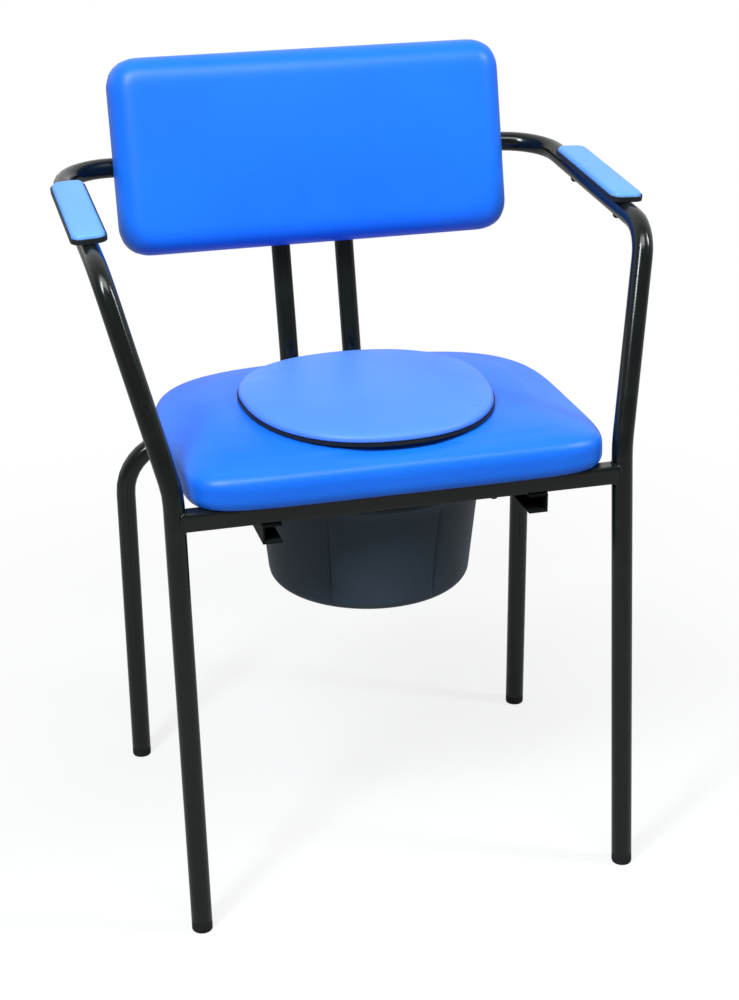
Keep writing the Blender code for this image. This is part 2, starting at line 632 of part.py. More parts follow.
def make_pail():
    """Round tapered pail: rolled rim, sloping wall, rounded bottom edge and shallow upright grooves."""
    rim_low = CHANNEL_FLOOR_Z + SEAT_GAP
    rim_top = rim_low + PAIL_RIM_T
    fall = rim_low - PAIL_BOTTOM_Z
    slope = (PAIL_TOP_R - PAIL_BOTTOM_R) / fall
    outer = [(PAIL_RIM_R, rim_top), (PAIL_RIM_R, rim_low), (PAIL_TOP_R, rim_low)]
    centre_r = PAIL_BOTTOM_R + slope * PAIL_FILLET_R - PAIL_FILLET_R
    bottom_arc = []
    for i in range(5):
        angle = math.pi / 2 * i / 4
        bottom_arc.append((centre_r + PAIL_FILLET_R * math.cos(angle),
                           PAIL_BOTTOM_Z + PAIL_FILLET_R * (1 - math.sin(angle))))
    inner_r = PAIL_FILLET_R - PAIL_WALL
    inside = []
    for i in range(5):
        angle = math.pi / 2 * (4 - i) / 4
        inside.append((centre_r + inner_r * math.cos(angle),
                       PAIL_BOTTOM_Z + PAIL_WALL + inner_r * (1 - math.sin(angle))))
    mouth = [(PAIL_TOP_R - PAIL_WALL, rim_top + PAIL_RIM_LIP), (PAIL_TOP_R, rim_top + PAIL_RIM_LIP),
             (PAIL_TOP_R, rim_top)]
    centre_low = [(0, PAIL_BOTTOM_Z)]
    centre_high = [(0, PAIL_BOTTOM_Z + PAIL_WALL)]
    profile = mouth[1:] + outer + bottom_arc + centre_low + centre_high + inside + mouth[:2]
    pail = turned("pail", profile, PAIL_SEGMENTS)
    pail.location = (0, PAIL_Y, 0)
    for i in range(PAIL_GROOVES):
        angle = PAIL_GROOVE_TURN + math.tau * i / PAIL_GROOVES
        out = Vector((math.sin(angle), -math.cos(angle), 0))
        stand = PAIL_GROOVE_R - PAIL_GROOVE_DEPTH
        high_z = rim_low - PAIL_FILLET_R
        low_z = PAIL_BOTTOM_Z + PAIL_FILLET_R
        centre = Vector((0, PAIL_Y, 0))
        high = centre + out * (PAIL_TOP_R - slope * PAIL_FILLET_R + stand) + Vector((0, 0, high_z))
        low = centre + out * (PAIL_BOTTOM_R + slope * PAIL_FILLET_R + stand) + Vector((0, 0, low_z))
        cut(pail, cutter(cylinder("pail_groove_%d" % i, low, high, PAIL_GROOVE_R, 8)))
    # Between its two ears the rim is only a bead, so the pail's front shows a plain wall.
    bead_r = PAIL_TOP_R + PAIL_BEAD
    start = math.asin(PAIL_EAR / bead_r)
    past = PAIL_RIM_R + PAIL_RIM_T
    for side in (1, -1):
        outline = [Vector((past, side * PAIL_EAR, 0)), Vector((past, side * past, 0)),
                   Vector((-past, side * past, 0)), Vector((-past, side * PAIL_EAR, 0))]
        for i in range(25):
            angle = math.pi - start - (math.pi - 2 * start) * i / 24
            outline.append(Vector((bead_r * math.cos(angle), side * bead_r * math.sin(angle), 0)))
        trim = plate("rim_trim_%d" % side, outline, 2 * PAIL_RIM_T)
        trim.location = (0, PAIL_Y, (rim_low + rim_top) / 2)
        cut(pail, cutter(trim))
    return place(pail, PAIL_PLASTIC)


# Seat
def oval_hole(name, low_z, high_z, extra=0.0):
    """Cutter for the hole in the seat."""
    hole = outline_plate(name, HOLE_A + extra, HOLE_B + extra, high_z - low_z, LID_CORNER)
    hole.location = (0, HOLE_Y, (low_z + high_z) / 2)
    return cutter(hole)


def make_seat():
    board_z = SEAT_BOTTOM_Z + BOARD_T / 2
    half_x, half_y = SEAT_W / 2 - SEAT_WRAP, SEAT_D / 2 - SEAT_WRAP
    board = outline_plate("seat_board", half_x, half_y, BOARD_T, SEAT_CORNER, 56,
                          front_corner=SEAT_FRONT_CORNER)
    board.location = (0, SEAT_Y, board_z)
    cut(board, oval_hole("board_hole", SEAT_BOTTOM_Z - BOARD_T, SEAT_BOTTOM_Z + 2 * BOARD_T))
    place(board, PLYWOOD)

    # The cushion's section is a rounded bar that is cut flat at the board's underside.
    body_h = SEAT_H * SEAT_SECTION
    cushion = pad("seat_cushion", SEAT_W / 2, SEAT_D / 2, body_h / 2, SEAT_CORNER, SEAT_EDGE, SEAT_CROWN,
                  front_corner=SEAT_FRONT_CORNER)
    flat_bottom(cushion, body_h / 2 - SEAT_H)
    cushion.location = (0, SEAT_Y, SEAT_TOP_Z - body_h / 2)
    pocket = outline_plate("board_pocket", half_x + SEAT_GAP, half_y + SEAT_GAP, 2 * BOARD_T, SEAT_CORNER,
                           56, front_corner=SEAT_FRONT_CORNER)
    pocket.location = (0, SEAT_Y, SEAT_BOTTOM_Z + SEAT_GAP)
    # The pocket's front edge is straight to a few micrometres, which the exact solver leaves open.
    cut(cushion, cutter(pocket), solver="MANIFOLD")
    hole = oval_hole("cushion_hole", SEAT_BOTTOM_Z - 2 * BOARD_T, SEAT_TOP_Z + SEAT_H)
    cut(cushion, hole, solver="MANIFOLD")
    place(cushion, BLUE_VINYL)
    return board, cushion


def make_lid():
    """Lift-off cover: a black board, its padded top and the plug that drops into the seat's hole."""
    low = SEAT_TOP_Z + SEAT_CROWN + SEAT_GAP
    board = outline_plate("lid_board", LID_A, LID_B, LID_BOARD_T, LID_CORNER, front_y=LID_FRONT_B)
    board.location = (0, LID_Y, low + LID_BOARD_T / 2)
    place(board, BLACK_PLASTIC)
    body_h = LID_PAD_H * LID_SECTION
    top = pad("lid_cushion", LID_A - LID_INSET, LID_B - LID_INSET, body_h / 2, LID_CORNER, LID_EDGE,
              cuts=9, front_y=LID_FRONT_B - LID_INSET)
    flat_bottom(top, body_h / 2 - LID_PAD_H)
    top.location = (0, LID_Y, low + LID_BOARD_T + SEAT_GAP + LID_PAD_H - body_h / 2)
    place(top, BLUE_VINYL)
    plug = outline_plate("lid_plug", HOLE_A - LID_PLUG_INSET, HOLE_B - LID_PLUG_INSET, LID_PLUG_T,
                         LID_CORNER)
    plug.location = (0, HOLE_Y, low - SEAT_GAP - LID_PLUG_T / 2)
    place(plug, PLYWOOD)


# Backrest
def back_frame():
    """Matrix of the backrest: local +Z forwards out of its face, local +Y up along it."""
    up = Vector((0, math.sin(UPRIGHT_LEAN), math.cos(UPRIGHT_LEAN)))
    face = Vector((0, -math.cos(UPRIGHT_LEAN), math.sin(UPRIGHT_LEAN)))
    centre = Vector((0, BACK_CENTRE_Y, BACK_CENTRE_Z))
    turn = Matrix((Vector((1, 0, 0)), up, face)).transposed().to_4x4()
    return Matrix.Translation(centre) @ turn, up, face


def make_backrest():
    frame, up, face = back_frame()
    inner_r = BACK_CORNER_R - BACK_WRAP
    outline = box_outline(BACK_W / 2 - BACK_WRAP, BACK_H / 2 - BACK_WRAP, inner_r)
    board = plate("backrest_board", outline, BACK_BOARD_T)
    board.matrix_basis = frame @ Matrix.Translation((0, 0, BACK_BOARD_T / 2))
    place(board, BLACK_PLASTIC)
    cushion = boxed_pad("backrest_cushion", BACK_W / 2, BACK_H / 2, BACK_T, BACK_CORNER_R, BACK_EDGE_R,
                        BACK_HEM_R, BACK_CROWN)
    cushion.matrix_basis = frame
    room = SEAT_GAP - BACK_WRAP
    outline = box_outline(BACK_W / 2 + room, BACK_H / 2 + room, inner_r + SEAT_GAP)
    pocket = plate("back_pocket", outline, 2 * BACK_BOARD_T)
    pocket.matrix_basis = frame @ Matrix.Translation((0, 0, SEAT_GAP))
    cut(cushion, cutter(pocket))
    place(cushion, BLUE_VINYL)
    return board, up, face


# Arms
def arm_frame(side):
    """Matrix at the arm tube's centre under the pad: +Y back along the arm, +Z out of the pad."""
    front = Vector((side * ARM_X, ARM_FRONT_Y, ARM_FRONT_Z))
    rear = Vector((side * ARM_X, BACK_BAR_Y, BACK_BAR_Z))
    along = (rear - front).normalized()
    across = Vector((1, 0, 0))
    out = across.cross(along)
    roll = Matrix.Rotation(side * ARM_PAD_ROLL, 3, along)
    across, out = roll @ across, roll @ out
    centre = front.lerp(rear, (ARM_PAD_Y - ARM_FRONT_Y) / (BACK_BAR_Y - ARM_FRONT_Y))
    turn = Matrix((across, along, out)).transposed().to_4x4()
    return Matrix.Translation(centre) @ turn, out, along, centre


def make_arm(side, word, hoop):
    frame, out, along, centre = arm_frame(side)
    outline = box_outline(ARM_PAD_W / 2 - ARM_BASE_INSET, ARM_PAD_L / 2 - ARM_BASE_INSET,
                          ARM_PAD_CORNER_R - ARM_BASE_INSET)
    base = plate("arm_pad_base_" + word, outline, ARM_BASE_T)
    base.matrix_basis = frame @ Matrix.Translation((0, 0, ON_TUBE + ARM_BASE_T / 2))
    place(base, BLACK_PLASTIC)
    top = boxed_pad("arm_pad_" + word, ARM_PAD_W / 2, ARM_PAD_L / 2, ARM_PAD_H, ARM_PAD_CORNER_R,
                    ARM_PAD_EDGE_R, ARM_PAD_HEM_R, ARM_PAD_CROWN, 3)
    top.matrix_basis = frame @ Matrix.Translation((0, 0, ON_TUBE + ARM_BASE_T + SEAT_GAP))
    place(top, ARM_VINYL)
    for i, step in enumerate((-1, 1)):
        head = centre + along * step * ARM_SCREW_PITCH / 2 - out * ON_TUBE
        length = 2 * TUBE_R + 3 * SEAT_GAP + ARM_BASE_T + ARM_SCREW_BITE
        screw("arm_screw_%s_%d" % (word, i + 1), head, out, length, [hoop, base, top])


def build():
    bpy.context.view_layer.update()
    hoop = make_front_hoop()
    make_rear_hoop()
    front_rail = make_front_rail()
    rear_rail = make_rear_rail()
    board, cushion = make_seat()
    back_board, back_up, back_face = make_backrest()
    for side, word in ((1, "right"), (-1, "left")):
        upright = make_upright(side, word)
        make_channel(side, word)
        make_arm(side, word, hoop)
        length = RAIL_SIDE + 2 * SEAT_GAP + SCREW_BITE
        for rail, end, y in ((front_rail, "front", RAIL_Y), (rear_rail, "rear", REAR_RAIL_Y)):
            head = (side * SEAT_SCREW_X, y, RAIL_BOTTOM_Z - SEAT_GAP)
            screw("seat_screw_%s_%s" % (end, word), head, (0, 0, 1), length, [rail, board])
        bar = Vector((0, BACK_BAR_Y, BACK_BAR_Z))
        length = 2 * TUBE_R + 2 * SEAT_GAP + SCREW_BITE
        high = bar + Vector((side * BACK_SCREW_X, 0, 0)) - back_face * ON_TUBE
        screw("back_screw_high_" + word, high, back_face, length, [hoop, back_board])
        low = bar + Vector((side * UPRIGHT_X, 0, 0)) - back_up * BACK_SCREW_DROP - back_face * ON_TUBE
        screw("back_screw_low_" + word, low, back_face, length, [upright, back_board])
    make_pail()
    make_lid()


build()
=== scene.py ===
# %% [markdown]
# Commode chair. A black bent-tube frame carries a padded blue seat with a lift-off oval cover, a padded
# backrest, two thin arm pads and a dark pail on two channels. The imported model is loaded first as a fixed
# frame in metres, so every piece below is placed by its numbers, and nothing needs to be fitted by eye.

import math

import bmesh
import bpy
import numpy
from mathutils import Matrix, Vector


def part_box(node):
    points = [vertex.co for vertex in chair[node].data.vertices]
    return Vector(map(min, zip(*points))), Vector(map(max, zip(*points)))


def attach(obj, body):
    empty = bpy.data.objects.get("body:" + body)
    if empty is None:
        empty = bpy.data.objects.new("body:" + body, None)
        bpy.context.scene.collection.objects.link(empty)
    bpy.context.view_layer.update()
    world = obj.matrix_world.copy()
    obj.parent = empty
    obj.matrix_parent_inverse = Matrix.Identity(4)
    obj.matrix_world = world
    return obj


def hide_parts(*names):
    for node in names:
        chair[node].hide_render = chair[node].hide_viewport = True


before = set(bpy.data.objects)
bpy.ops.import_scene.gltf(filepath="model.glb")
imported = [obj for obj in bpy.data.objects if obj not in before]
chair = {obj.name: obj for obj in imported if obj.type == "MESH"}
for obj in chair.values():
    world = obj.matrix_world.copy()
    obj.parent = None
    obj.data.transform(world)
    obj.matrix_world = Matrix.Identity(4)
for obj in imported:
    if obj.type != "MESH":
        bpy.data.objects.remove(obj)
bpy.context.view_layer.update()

# %% [markdown]
# The chair is seen from in front and a little from the left, from 1.2 m above the floor. A camera's matrix
# holds three directions and a place, so it can be written down once they are known. This is surer than
# turning the camera by hand until it looks right, because a matrix takes the roll along as well.

# %% Camera
CAMERA_EYE = Vector((-0.50448, -1.95485, 1.21939))
CAMERA_RIGHT = Vector((0.96582, -0.25905, -0.00890))
CAMERA_UP = Vector((0.10868, 0.37355, 0.92122))
CAMERA_LENS = 70.88
SENSOR_WIDTH = 36
CLIP_END = 200

lens = bpy.data.cameras.new("studio_camera")
lens.lens = CAMERA_LENS
lens.sensor_width = SENSOR_WIDTH
lens.clip_end = CLIP_END
camera = bpy.data.objects.new("studio_camera", lens)
turn = Matrix((CAMERA_RIGHT, CAMERA_UP, CAMERA_RIGHT.cross(CAMERA_UP))).transposed()
camera.matrix_world = Matrix.Translation(CAMERA_EYE) @ turn.to_4x4()
bpy.context.scene.collection.objects.link(camera)
bpy.context.scene.camera = camera
bpy.context.scene.view_settings.view_transform = "Standard"
print("camera at", [round(v, 2) for v in CAMERA_EYE], "lens", CAMERA_LENS)

# %% [markdown]
# Shaders are graphs of nodes, and a sum of three values already takes two Math nodes. One small class keeps
# that readable: it wraps a node's output, and Python's own operators add the Math nodes. Its node method
# makes any node from its type, its settings and its inputs. A mix of colours goes through a Mix node,
# because a Math node would turn the colour grey.

# %% Shader sums
MIX_SHARE, MIX_FIRST, MIX_SECOND = 0, 6, 7   # a Mix node's sockets for colours
MIX_COLOUR = 2


class Wire:
    """A node's output. A sum that uses it, such as 1 - mask * 0.3, adds Math nodes to its tree."""

    def __init__(self, tree, socket=None):
        self.tree = tree
        self.socket = socket

    def node(self, kind, settings=None, inputs=None, out=0):
        """Adds a node, sets it up, feeds its inputs with numbers or Wires, and gives one output."""
        made = self.tree.nodes.new(kind)
        for name, value in (settings or {}).items():
            setattr(made, name, value)
        for name, value in (inputs or {}).items():
            if isinstance(value, Wire):
                self.tree.links.new(value.socket, made.inputs[name])
            else:
                made.inputs[name].default_value = value
        return Wire(self.tree, made.outputs[out])

    def sum(self, operation, first, second):
        return self.node("ShaderNodeMath", {"operation": operation}, {0: first, 1: second})

    def __add__(self, other):
        return self.sum("ADD", self, other)

    def __radd__(self, other):
        return self.sum("ADD", other, self)

    def __sub__(self, other):
        return self.sum("SUBTRACT", self, other)

    def __rsub__(self, other):
        return self.sum("SUBTRACT", other, self)

    def __mul__(self, other):
        return self.sum("MULTIPLY", self, other)

    def __rmul__(self, other):
        return self.sum("MULTIPLY", other, self)

    def __truediv__(self, other):
        return self.sum("DIVIDE", self, other)

    def __rtruediv__(self, other):
        return self.sum("DIVIDE", other, self)

    def mix(self, low, high):
        """Blends two colours, this value being the share of the second."""
        inputs = {MIX_SHARE: self, MIX_FIRST: low, MIX_SECOND: high}
        return self.node("ShaderNodeMix", {"data_type": "RGBA"}, inputs, out=MIX_COLOUR)


class Finish:
    """A material with one Principled shader. Fixed numbers go straight onto the shader's sockets."""

    def __init__(self, name, **fixed):
        self.material = bpy.data.materials.new(name)
        self.material.use_nodes = True
        self.tree = self.material.node_tree
        self.shader = self.tree.nodes["Principled BSDF"]
        for socket, value in fixed.items():
            self.shader.inputs[socket.replace("_", " ")].default_value = value
        self.start = Wire(self.tree)
        self.place = self.start.node("ShaderNodeTexCoord", out="Object")

    def noise(self, scale, detail=4.0, rough=0.5, place=None):
        """Soft random values round 0.5; scale is in spots to the metre."""
        inputs = {"Vector": place or self.place, "Scale": scale, "Detail": detail, "Roughness": rough}
        return self.start.node("ShaderNodeTexNoise", None, inputs, out="Fac")

    def cells(self, scale, feature="F1"):
        """Distance to the nearest of many scattered points, or to the edges between them."""
        inputs = {"Vector": self.place, "Scale": scale}
        return self.start.node("ShaderNodeTexVoronoi", {"feature": feature}, inputs, out="Distance")

    def stretched(self, x, y, z):
        """Object coordinates scaled by axis, so that a pattern runs long in one direction."""
        inputs = {0: self.place, 1: (x, y, z)}
        return self.start.node("ShaderNodeVectorMath", {"operation": "MULTIPLY"}, inputs)

    def clamp(self, value, low, high):
        """Turns low..high into 0..1 and holds what is outside at the ends."""
        inputs = {"Value": value, "From Min": low, "From Max": high}
        return self.start.node("ShaderNodeMapRange", {"clamp": True}, inputs)

    def bump(self, height, distance, strength):
        """Shades the surface as if it had this relief, distance metres deep."""
        inputs = {"Height": height, "Distance": distance, "Strength": strength}
        normal = self.start.node("ShaderNodeBump", None, inputs, out="Normal")
        self.tree.links.new(normal.socket, self.shader.inputs["Normal"])

    def feed(self, socket, wire):
        """Links a varying value to one of the shader's sockets."""
        self.tree.links.new(wire.socket, self.shader.inputs[socket])


print("shader sums ready")

# %% [markdown]
# The pads are covered in vivid blue upholstery vinyl. Up close it has a fine pebble grain, a slow drift of
# colour where it is stretched, and a satin gloss. Voronoi cells give the pebbles, and two sizes of noise
# give the drift. A bump is enough for grain this small, since it never shows in the outline. The lift-off
# cover and the arm pads are paler, so one function makes all three from their colours and their gloss.

# %% Blue vinyl
def vinyl(name, deep, bright, gloss):
    """Vinyl between two blues; gloss is its least roughness."""
    finish = Finish(name, Specular_IOR_Level=0.35)
    drift = finish.clamp(finish.noise(scale=9.0, detail=3.0), low=0.3, high=0.7)
    fine = finish.noise(scale=260.0, detail=5.0)
    pebble = finish.cells(scale=620.0)
    crease = finish.clamp(finish.cells(scale=310.0, feature="DISTANCE_TO_EDGE"), low=0.0, high=0.12)
    share = drift * 0.75 + fine * 0.25
    finish.feed("Base Color", share.mix((*deep, 1), (*bright, 1)))
    finish.feed("Roughness", gloss + fine * 0.10 + (1 - drift) * 0.05)
    grain = pebble * 0.5 + crease * 0.4 + fine * 0.3
    finish.bump(grain, distance=0.00030, strength=0.30)
    return finish.material


BLUE_VINYL = vinyl("blue_vinyl", deep=(0.006, 0.158, 0.90), bright=(0.010, 0.186, 0.96), gloss=0.30)
COVER_VINYL = vinyl("cover_vinyl", deep=(0.075, 0.245, 0.90), bright=(0.090, 0.275, 0.95), gloss=0.34)
ARM_VINYL = vinyl("arm_vinyl", deep=(0.115, 0.340, 0.84), bright=(0.140, 0.380, 0.89), gloss=0.36)
print("made", BLUE_VINYL.name, COVER_VINYL.name, ARM_VINYL.name)

# %% [markdown]
# The frame is painted near-black steel tube. Sprayed paint is never quite flat: it has the soft ripple of
# orange peel, faint rubbed patches and a little dust on what faces up. The ripple is noise of about two
# millimetres, and the dust reads the surface's own normal, so it stays on the top of a tube from any side.
# The pail's channels are matt, so they get the same paint with less gloss.

# %% Frame paint
PAINT_BLACK = (0.0035, 0.0060, 0.0052, 1)
PAINT_RUBBED = (0.0070, 0.0105, 0.0095, 1)
DUST_GREY = (0.16, 0.18, 0.20, 1)


def paint_coat(name, specular, rough):
    finish = Finish(name, Specular_IOR_Level=specular)
    peel = finish.noise(scale=520.0, detail=2.0)
    rubbed = finish.clamp(finish.noise(scale=26.0, detail=6.0, rough=0.62), low=0.52, high=0.78)
    normal = finish.start.node("ShaderNodeNewGeometry", out="Normal")
    upward = finish.start.node("ShaderNodeSeparateXYZ", None, {0: normal}, out="Z")
    patches = finish.clamp(finish.noise(scale=70.0, detail=5.0), low=0.35, high=0.75)
    dust = finish.clamp(upward, low=0.55, high=1.0) * patches
    paint = rubbed.mix(PAINT_BLACK, PAINT_RUBBED)
    finish.feed("Base Color", (dust * 0.05).mix(paint, DUST_GREY))
    finish.feed("Roughness", rough + rubbed * 0.08 + dust * 0.10)
    finish.bump(peel, distance=0.00010, strength=0.25)
    return finish.material


FRAME_PAINT = paint_coat("frame_paint", specular=0.42, rough=0.17)
RUNNER_PAINT = paint_coat("runner_paint", specular=0.10, rough=0.55)
print("made", FRAME_PAINT.name, RUNNER_PAINT.name)

# %% [markdown]
# The pail is moulded in dark slate plastic: matt, slightly cloudy, with a fine spark-eroded texture from
# the mould and faint scuffs that run around it. The small plastic pieces, the cover's board and the arm
# bases, share the idea in black.

# %% Moulded plastics
WORN_LIGHTER = 2.2


def moulded(name, dark, light, rough, grain):
    """Cloudy plastic between two colours; grain is the texture's spots to the metre."""
    finish = Finish(name, Specular_IOR_Level=0.25)
    cloud = finish.clamp(finish.noise(scale=14.0, detail=4.0), low=0.3, high=0.7)
    spark = finish.noise(scale=grain, detail=3.0)
    around = finish.stretched(x=1.0, y=1.0, z=9.0)
    scuff = finish.noise(scale=60.0, detail=7.0, rough=0.7, place=around)
    scuff = finish.clamp(scuff, low=0.62, high=0.80)
    body = cloud.mix((*dark, 1), (*light, 1))
    worn = tuple(WORN_LIGHTER * value for value in light)
    finish.feed("Base Color", (scuff * 0.18).mix(body, (*worn, 1)))
    finish.feed("Roughness", rough + spark * 0.10 - scuff * 0.08)
    finish.bump(spark + scuff * 0.3, distance=0.00015, strength=0.35)
    return finish.material


PAIL_PLASTIC = moulded("pail_plastic", dark=(0.034, 0.053, 0.074), light=(0.043, 0.067, 0.094),
                       rough=0.46, grain=1400.0)
BLACK_PLASTIC = moulded("black_plastic", dark=(0.010, 0.012, 0.015), light=(0.014, 0.017, 0.020),
                        rough=0.42, grain=1100.0)
RUBBER = moulded("rubber", dark=(0.012, 0.012, 0.013), light=(0.020, 0.020, 0.021),
                 rough=0.68, grain=900.0)
print("made", PAIL_PLASTIC.name, BLACK_PLASTIC.name, RUBBER.name)

# %% [markdown]
# Under the vinyl there is a plywood board, seen from below. Its face has long grain, drawn with noise that
# is stretched along the board, and its edge shows the plies as bands of height. The screws are steel with
# black zinc: a metal, so the colour sits in the reflection, with brushed marks and a blotchy tint.

# %% Plywood and zinc
PLY = 0.0024
WOOD_DARK = (0.36, 0.225, 0.115, 1)
WOOD_LIGHT = (0.55, 0.39, 0.22, 1)
WOOD_SEAM = (0.24, 0.14, 0.07, 1)
ZINC_DARK = (0.024, 0.024, 0.026, 1)
ZINC_LIGHT = (0.042, 0.042, 0.045, 1)


def plywood():
    finish = Finish("plywood", Specular_IOR_Level=0.25)
    long = finish.stretched(x=0.12, y=1.0, z=1.0)
    grain = finish.noise(scale=46.0, detail=8.0, rough=0.65, place=long)
    longer = finish.stretched(x=0.05, y=1.0, z=1.0)
    streak = finish.clamp(finish.noise(scale=190.0, detail=3.0, place=longer), low=0.45, high=0.75)
    height = finish.start.node("ShaderNodeSeparateXYZ", None, {0: finish.place}, out="Z")
    ply = finish.start.node("ShaderNodeMath", {"operation": "PINGPONG"}, {0: height, 1: PLY}) / PLY
    tone = finish.clamp(grain, low=0.25, high=0.75) * 0.7 + streak * 0.3
    seam = finish.clamp(ply, low=0.55, high=0.75) * 0.25
    finish.feed("Base Color", seam.mix(tone.mix(WOOD_DARK, WOOD_LIGHT), WOOD_SEAM))
    finish.feed("Roughness", 0.62 + streak * 0.15)
    finish.bump(grain + streak * 0.5, distance=0.00025, strength=0.4)
    return finish.material


def zinc():
    finish = Finish("zinc_steel", Metallic=1.0)
    blotch = finish.clamp(finish.noise(scale=120.0, detail=5.0), low=0.35, high=0.7)
    brushed = finish.noise(scale=900.0, detail=3.0, place=finish.stretched(x=1.0, y=1.0, z=0.15))
    finish.feed("Base Color", blotch.mix(ZINC_DARK, ZINC_LIGHT))
    finish.feed("Roughness", 0.26 + blotch * 0.10 + brushed * 0.10)
    finish.bump(brushed, distance=0.00008, strength=0.4)
    return finish.material


PLYWOOD = plywood()
ZINC = zinc()
print("made", PLYWOOD.name, ZINC.name)

# %% [markdown]
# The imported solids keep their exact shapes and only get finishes. Their round tubes come as flat facets, so
# they need smooth shading, but a rail's corner has to stay crisp. A Weld joins the points that the import
# split, and an Edge Split opens the mesh again where two faces meet at more than a set angle.

# %% Finish the solids that stay
MERGE = 0.00001
CRISP_ANGLE = 36
FINISHES = {
    "frame_paint": FRAME_PAINT,
    "blue_vinyl": BLUE_VINYL,
    "arm_vinyl": ARM_VINYL,
    "black_plastic": BLACK_PLASTIC,
    "pail_plastic": PAIL_PLASTIC,
    "plywood": PLYWOOD,
    "rubber": RUBBER,
    "zinc_steel": ZINC,
}


def soft_shade(solid):
    """Smooth shading up to an angle, by modifiers, so that the solid's own points stay as they are."""
    for name in ("custom_normal", "sharp_face", "sharp_edge"):
        if name in solid.data.attributes:
            solid.data.attributes.remove(solid.data.attributes[name])
    solid.data.polygons.foreach_set("use_smooth", [True] * len(solid.data.polygons))
    weld = solid.modifiers.new("weld", "WELD")
    weld.merge_threshold = MERGE
    split = solid.modifiers.new("crisp_edges", "EDGE_SPLIT")
    split.split_angle = math.radians(CRISP_ANGLE)


for solid in chair.values():
    for index, old in enumerate(solid.data.materials):
        solid.data.materials[index] = FINISHES[old.name.split(".")[0]]
    soft_shade(solid)
for name in ("pail_channel_left", "pail_channel_right"):
    chair[name].data.materials[0] = RUNNER_PAINT
print("finished", len(chair), "solids")

# %% [markdown]
# The pads are foam on boards under tight vinyl, and they look firm: a nearly flat face, an even radius all
# round and a tucked hem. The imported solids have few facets, which would show as flat spots, so each pad is
# laid out again in small even quads. A cloth simulation with pressure then fills it. Points that lie on a
# board are pinned, the rest swells, and a cap on the way of each point keeps the pad at its real size.

# %% Stuffing by cloth
CLOTH = {
    "quality": 5,
    "mass": 0.35,
    "tension_stiffness": 60,
    "compression_stiffness": 60,
    "shear_stiffness": 30,
    "bending_stiffness": 40,
    "use_pressure": True,
}
CLOTH_STEPS = 20
RELAX_ROUNDS = 3
RELAX_SHARE = 0.5


def finished_mesh(name, form, edge_angle=None):
    """A smooth mesh of a form, with its normals outwards and edges over an angle kept crisp."""
    bmesh.ops.recalc_face_normals(form, faces=form.faces)
    mesh = bpy.data.meshes.new(name)
    form.to_mesh(mesh)
    form.free()
    mesh.shade_smooth()
    if edge_angle:
        mesh.set_sharp_from_angle(angle=math.radians(edge_angle))
    return mesh


def new_piece(name, mesh, finish, body):
    """Puts a mesh in the scene and on the body that carries it."""
    piece = bpy.data.objects.new(name, mesh)
    bpy.context.scene.collection.objects.link(piece)
    mesh.materials.clear()
    mesh.materials.append(finish)
    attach(piece, body)
    return piece


def swell(mesh, pinned, pressure, cap):
    """Runs cloth under pressure on the mesh, and moves no point further than cap from its start."""
    helper = bpy.data.objects.new("swelling", mesh)
    bpy.context.scene.collection.objects.link(helper)
    group = helper.vertex_groups.new(name="held")
    group.add([v.index for v in mesh.vertices if pinned(v.co)], 1.0, "ADD")
    cloth = helper.modifiers.new("vinyl", "CLOTH")
    for setting, value in CLOTH.items():
        setattr(cloth.settings, setting, value)
    cloth.settings.uniform_pressure_force = pressure
    cloth.settings.vertex_group_mass = "held"
    cloth.settings.effector_weights.gravity = 0
    scene = bpy.context.scene
    for step in range(1, CLOTH_STEPS + 1):
        scene.frame_set(step)
    made = helper.evaluated_get(bpy.context.evaluated_depsgraph_get()).to_mesh()
    ways = [end.co - start.co for start, end in zip(mesh.vertices, made.vertices)]
    helper.modifiers.remove(cloth)
    scene.frame_set(1)
    most = 0.0
    for vert, way in zip(mesh.vertices, ways):
        if way.length > cap:
            way *= cap / way.length
        most = max(most, way.length)
        vert.co += way
    bpy.data.objects.remove(helper)
    return most


def relax(mesh, pinned):
    """Evens out the free points, so that the vinyl lies without ripples."""
    form = bmesh.new()
    form.from_mesh(mesh)
    free = [v for v in form.verts if not pinned(v.co)]
    for _ in range(RELAX_ROUNDS):
        bmesh.ops.smooth_vert(form, verts=free, factor=RELAX_SHARE, use_axis_x=True, use_axis_y=True,
                              use_axis_z=True)
    form.to_mesh(mesh)
    form.free()


def stuffed(name, form, node, body, finish, pinned, pressure, cap):
    """Makes a pad of a laid-out form, blows it up, and lets it stand for its solid."""
    mesh = finished_mesh(name, form)
    most = 0.0
    most = swell(mesh, pinned, pressure, cap)
    relax(mesh, pinned)
    piece = new_piece(name, mesh, finish, body)
    finer = piece.modifiers.new("finer", "SUBSURF")
    finer.levels = 1
    finer.render_levels = 1
    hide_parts(node)
    print(name, len(mesh.polygons), "faces, swelled by at most", round(most * 1000, 1), "mm")
    return piece


print("cloth ready")

# %% [markdown]
# A boxed pad has two sheets, its face and its back, and a side that joins them. Both sheets share one
# lattice, whose border lines follow the rounded edge on the face, and the hem and the board's pocket on
# the back. A plan turns the square lattice into the pad's outline, for instance by making arcs of the
# corners' rings. Subdividing a cube would be shorter, but it can't put lines where the edges need them.

# %% Lay out a pad on a lattice
HEM_STEPS = 2
BACK_STEPS = 4


def spread(first, last, step):
    """Even numbers from first to last, about step apart."""
    count = max(1, round(abs(last - first) / step))
    return [first + (last - first) * i / count for i in range(count + 1)]


def quarter(radius, count):
    """(inset, drop) pairs along a rounded edge, from the side to the flat."""
    turns = spread(0, math.pi / 2, math.pi / 2 / count)
    return [(radius * (1 - math.cos(t)), radius * (1 - math.sin(t))) for t in turns]


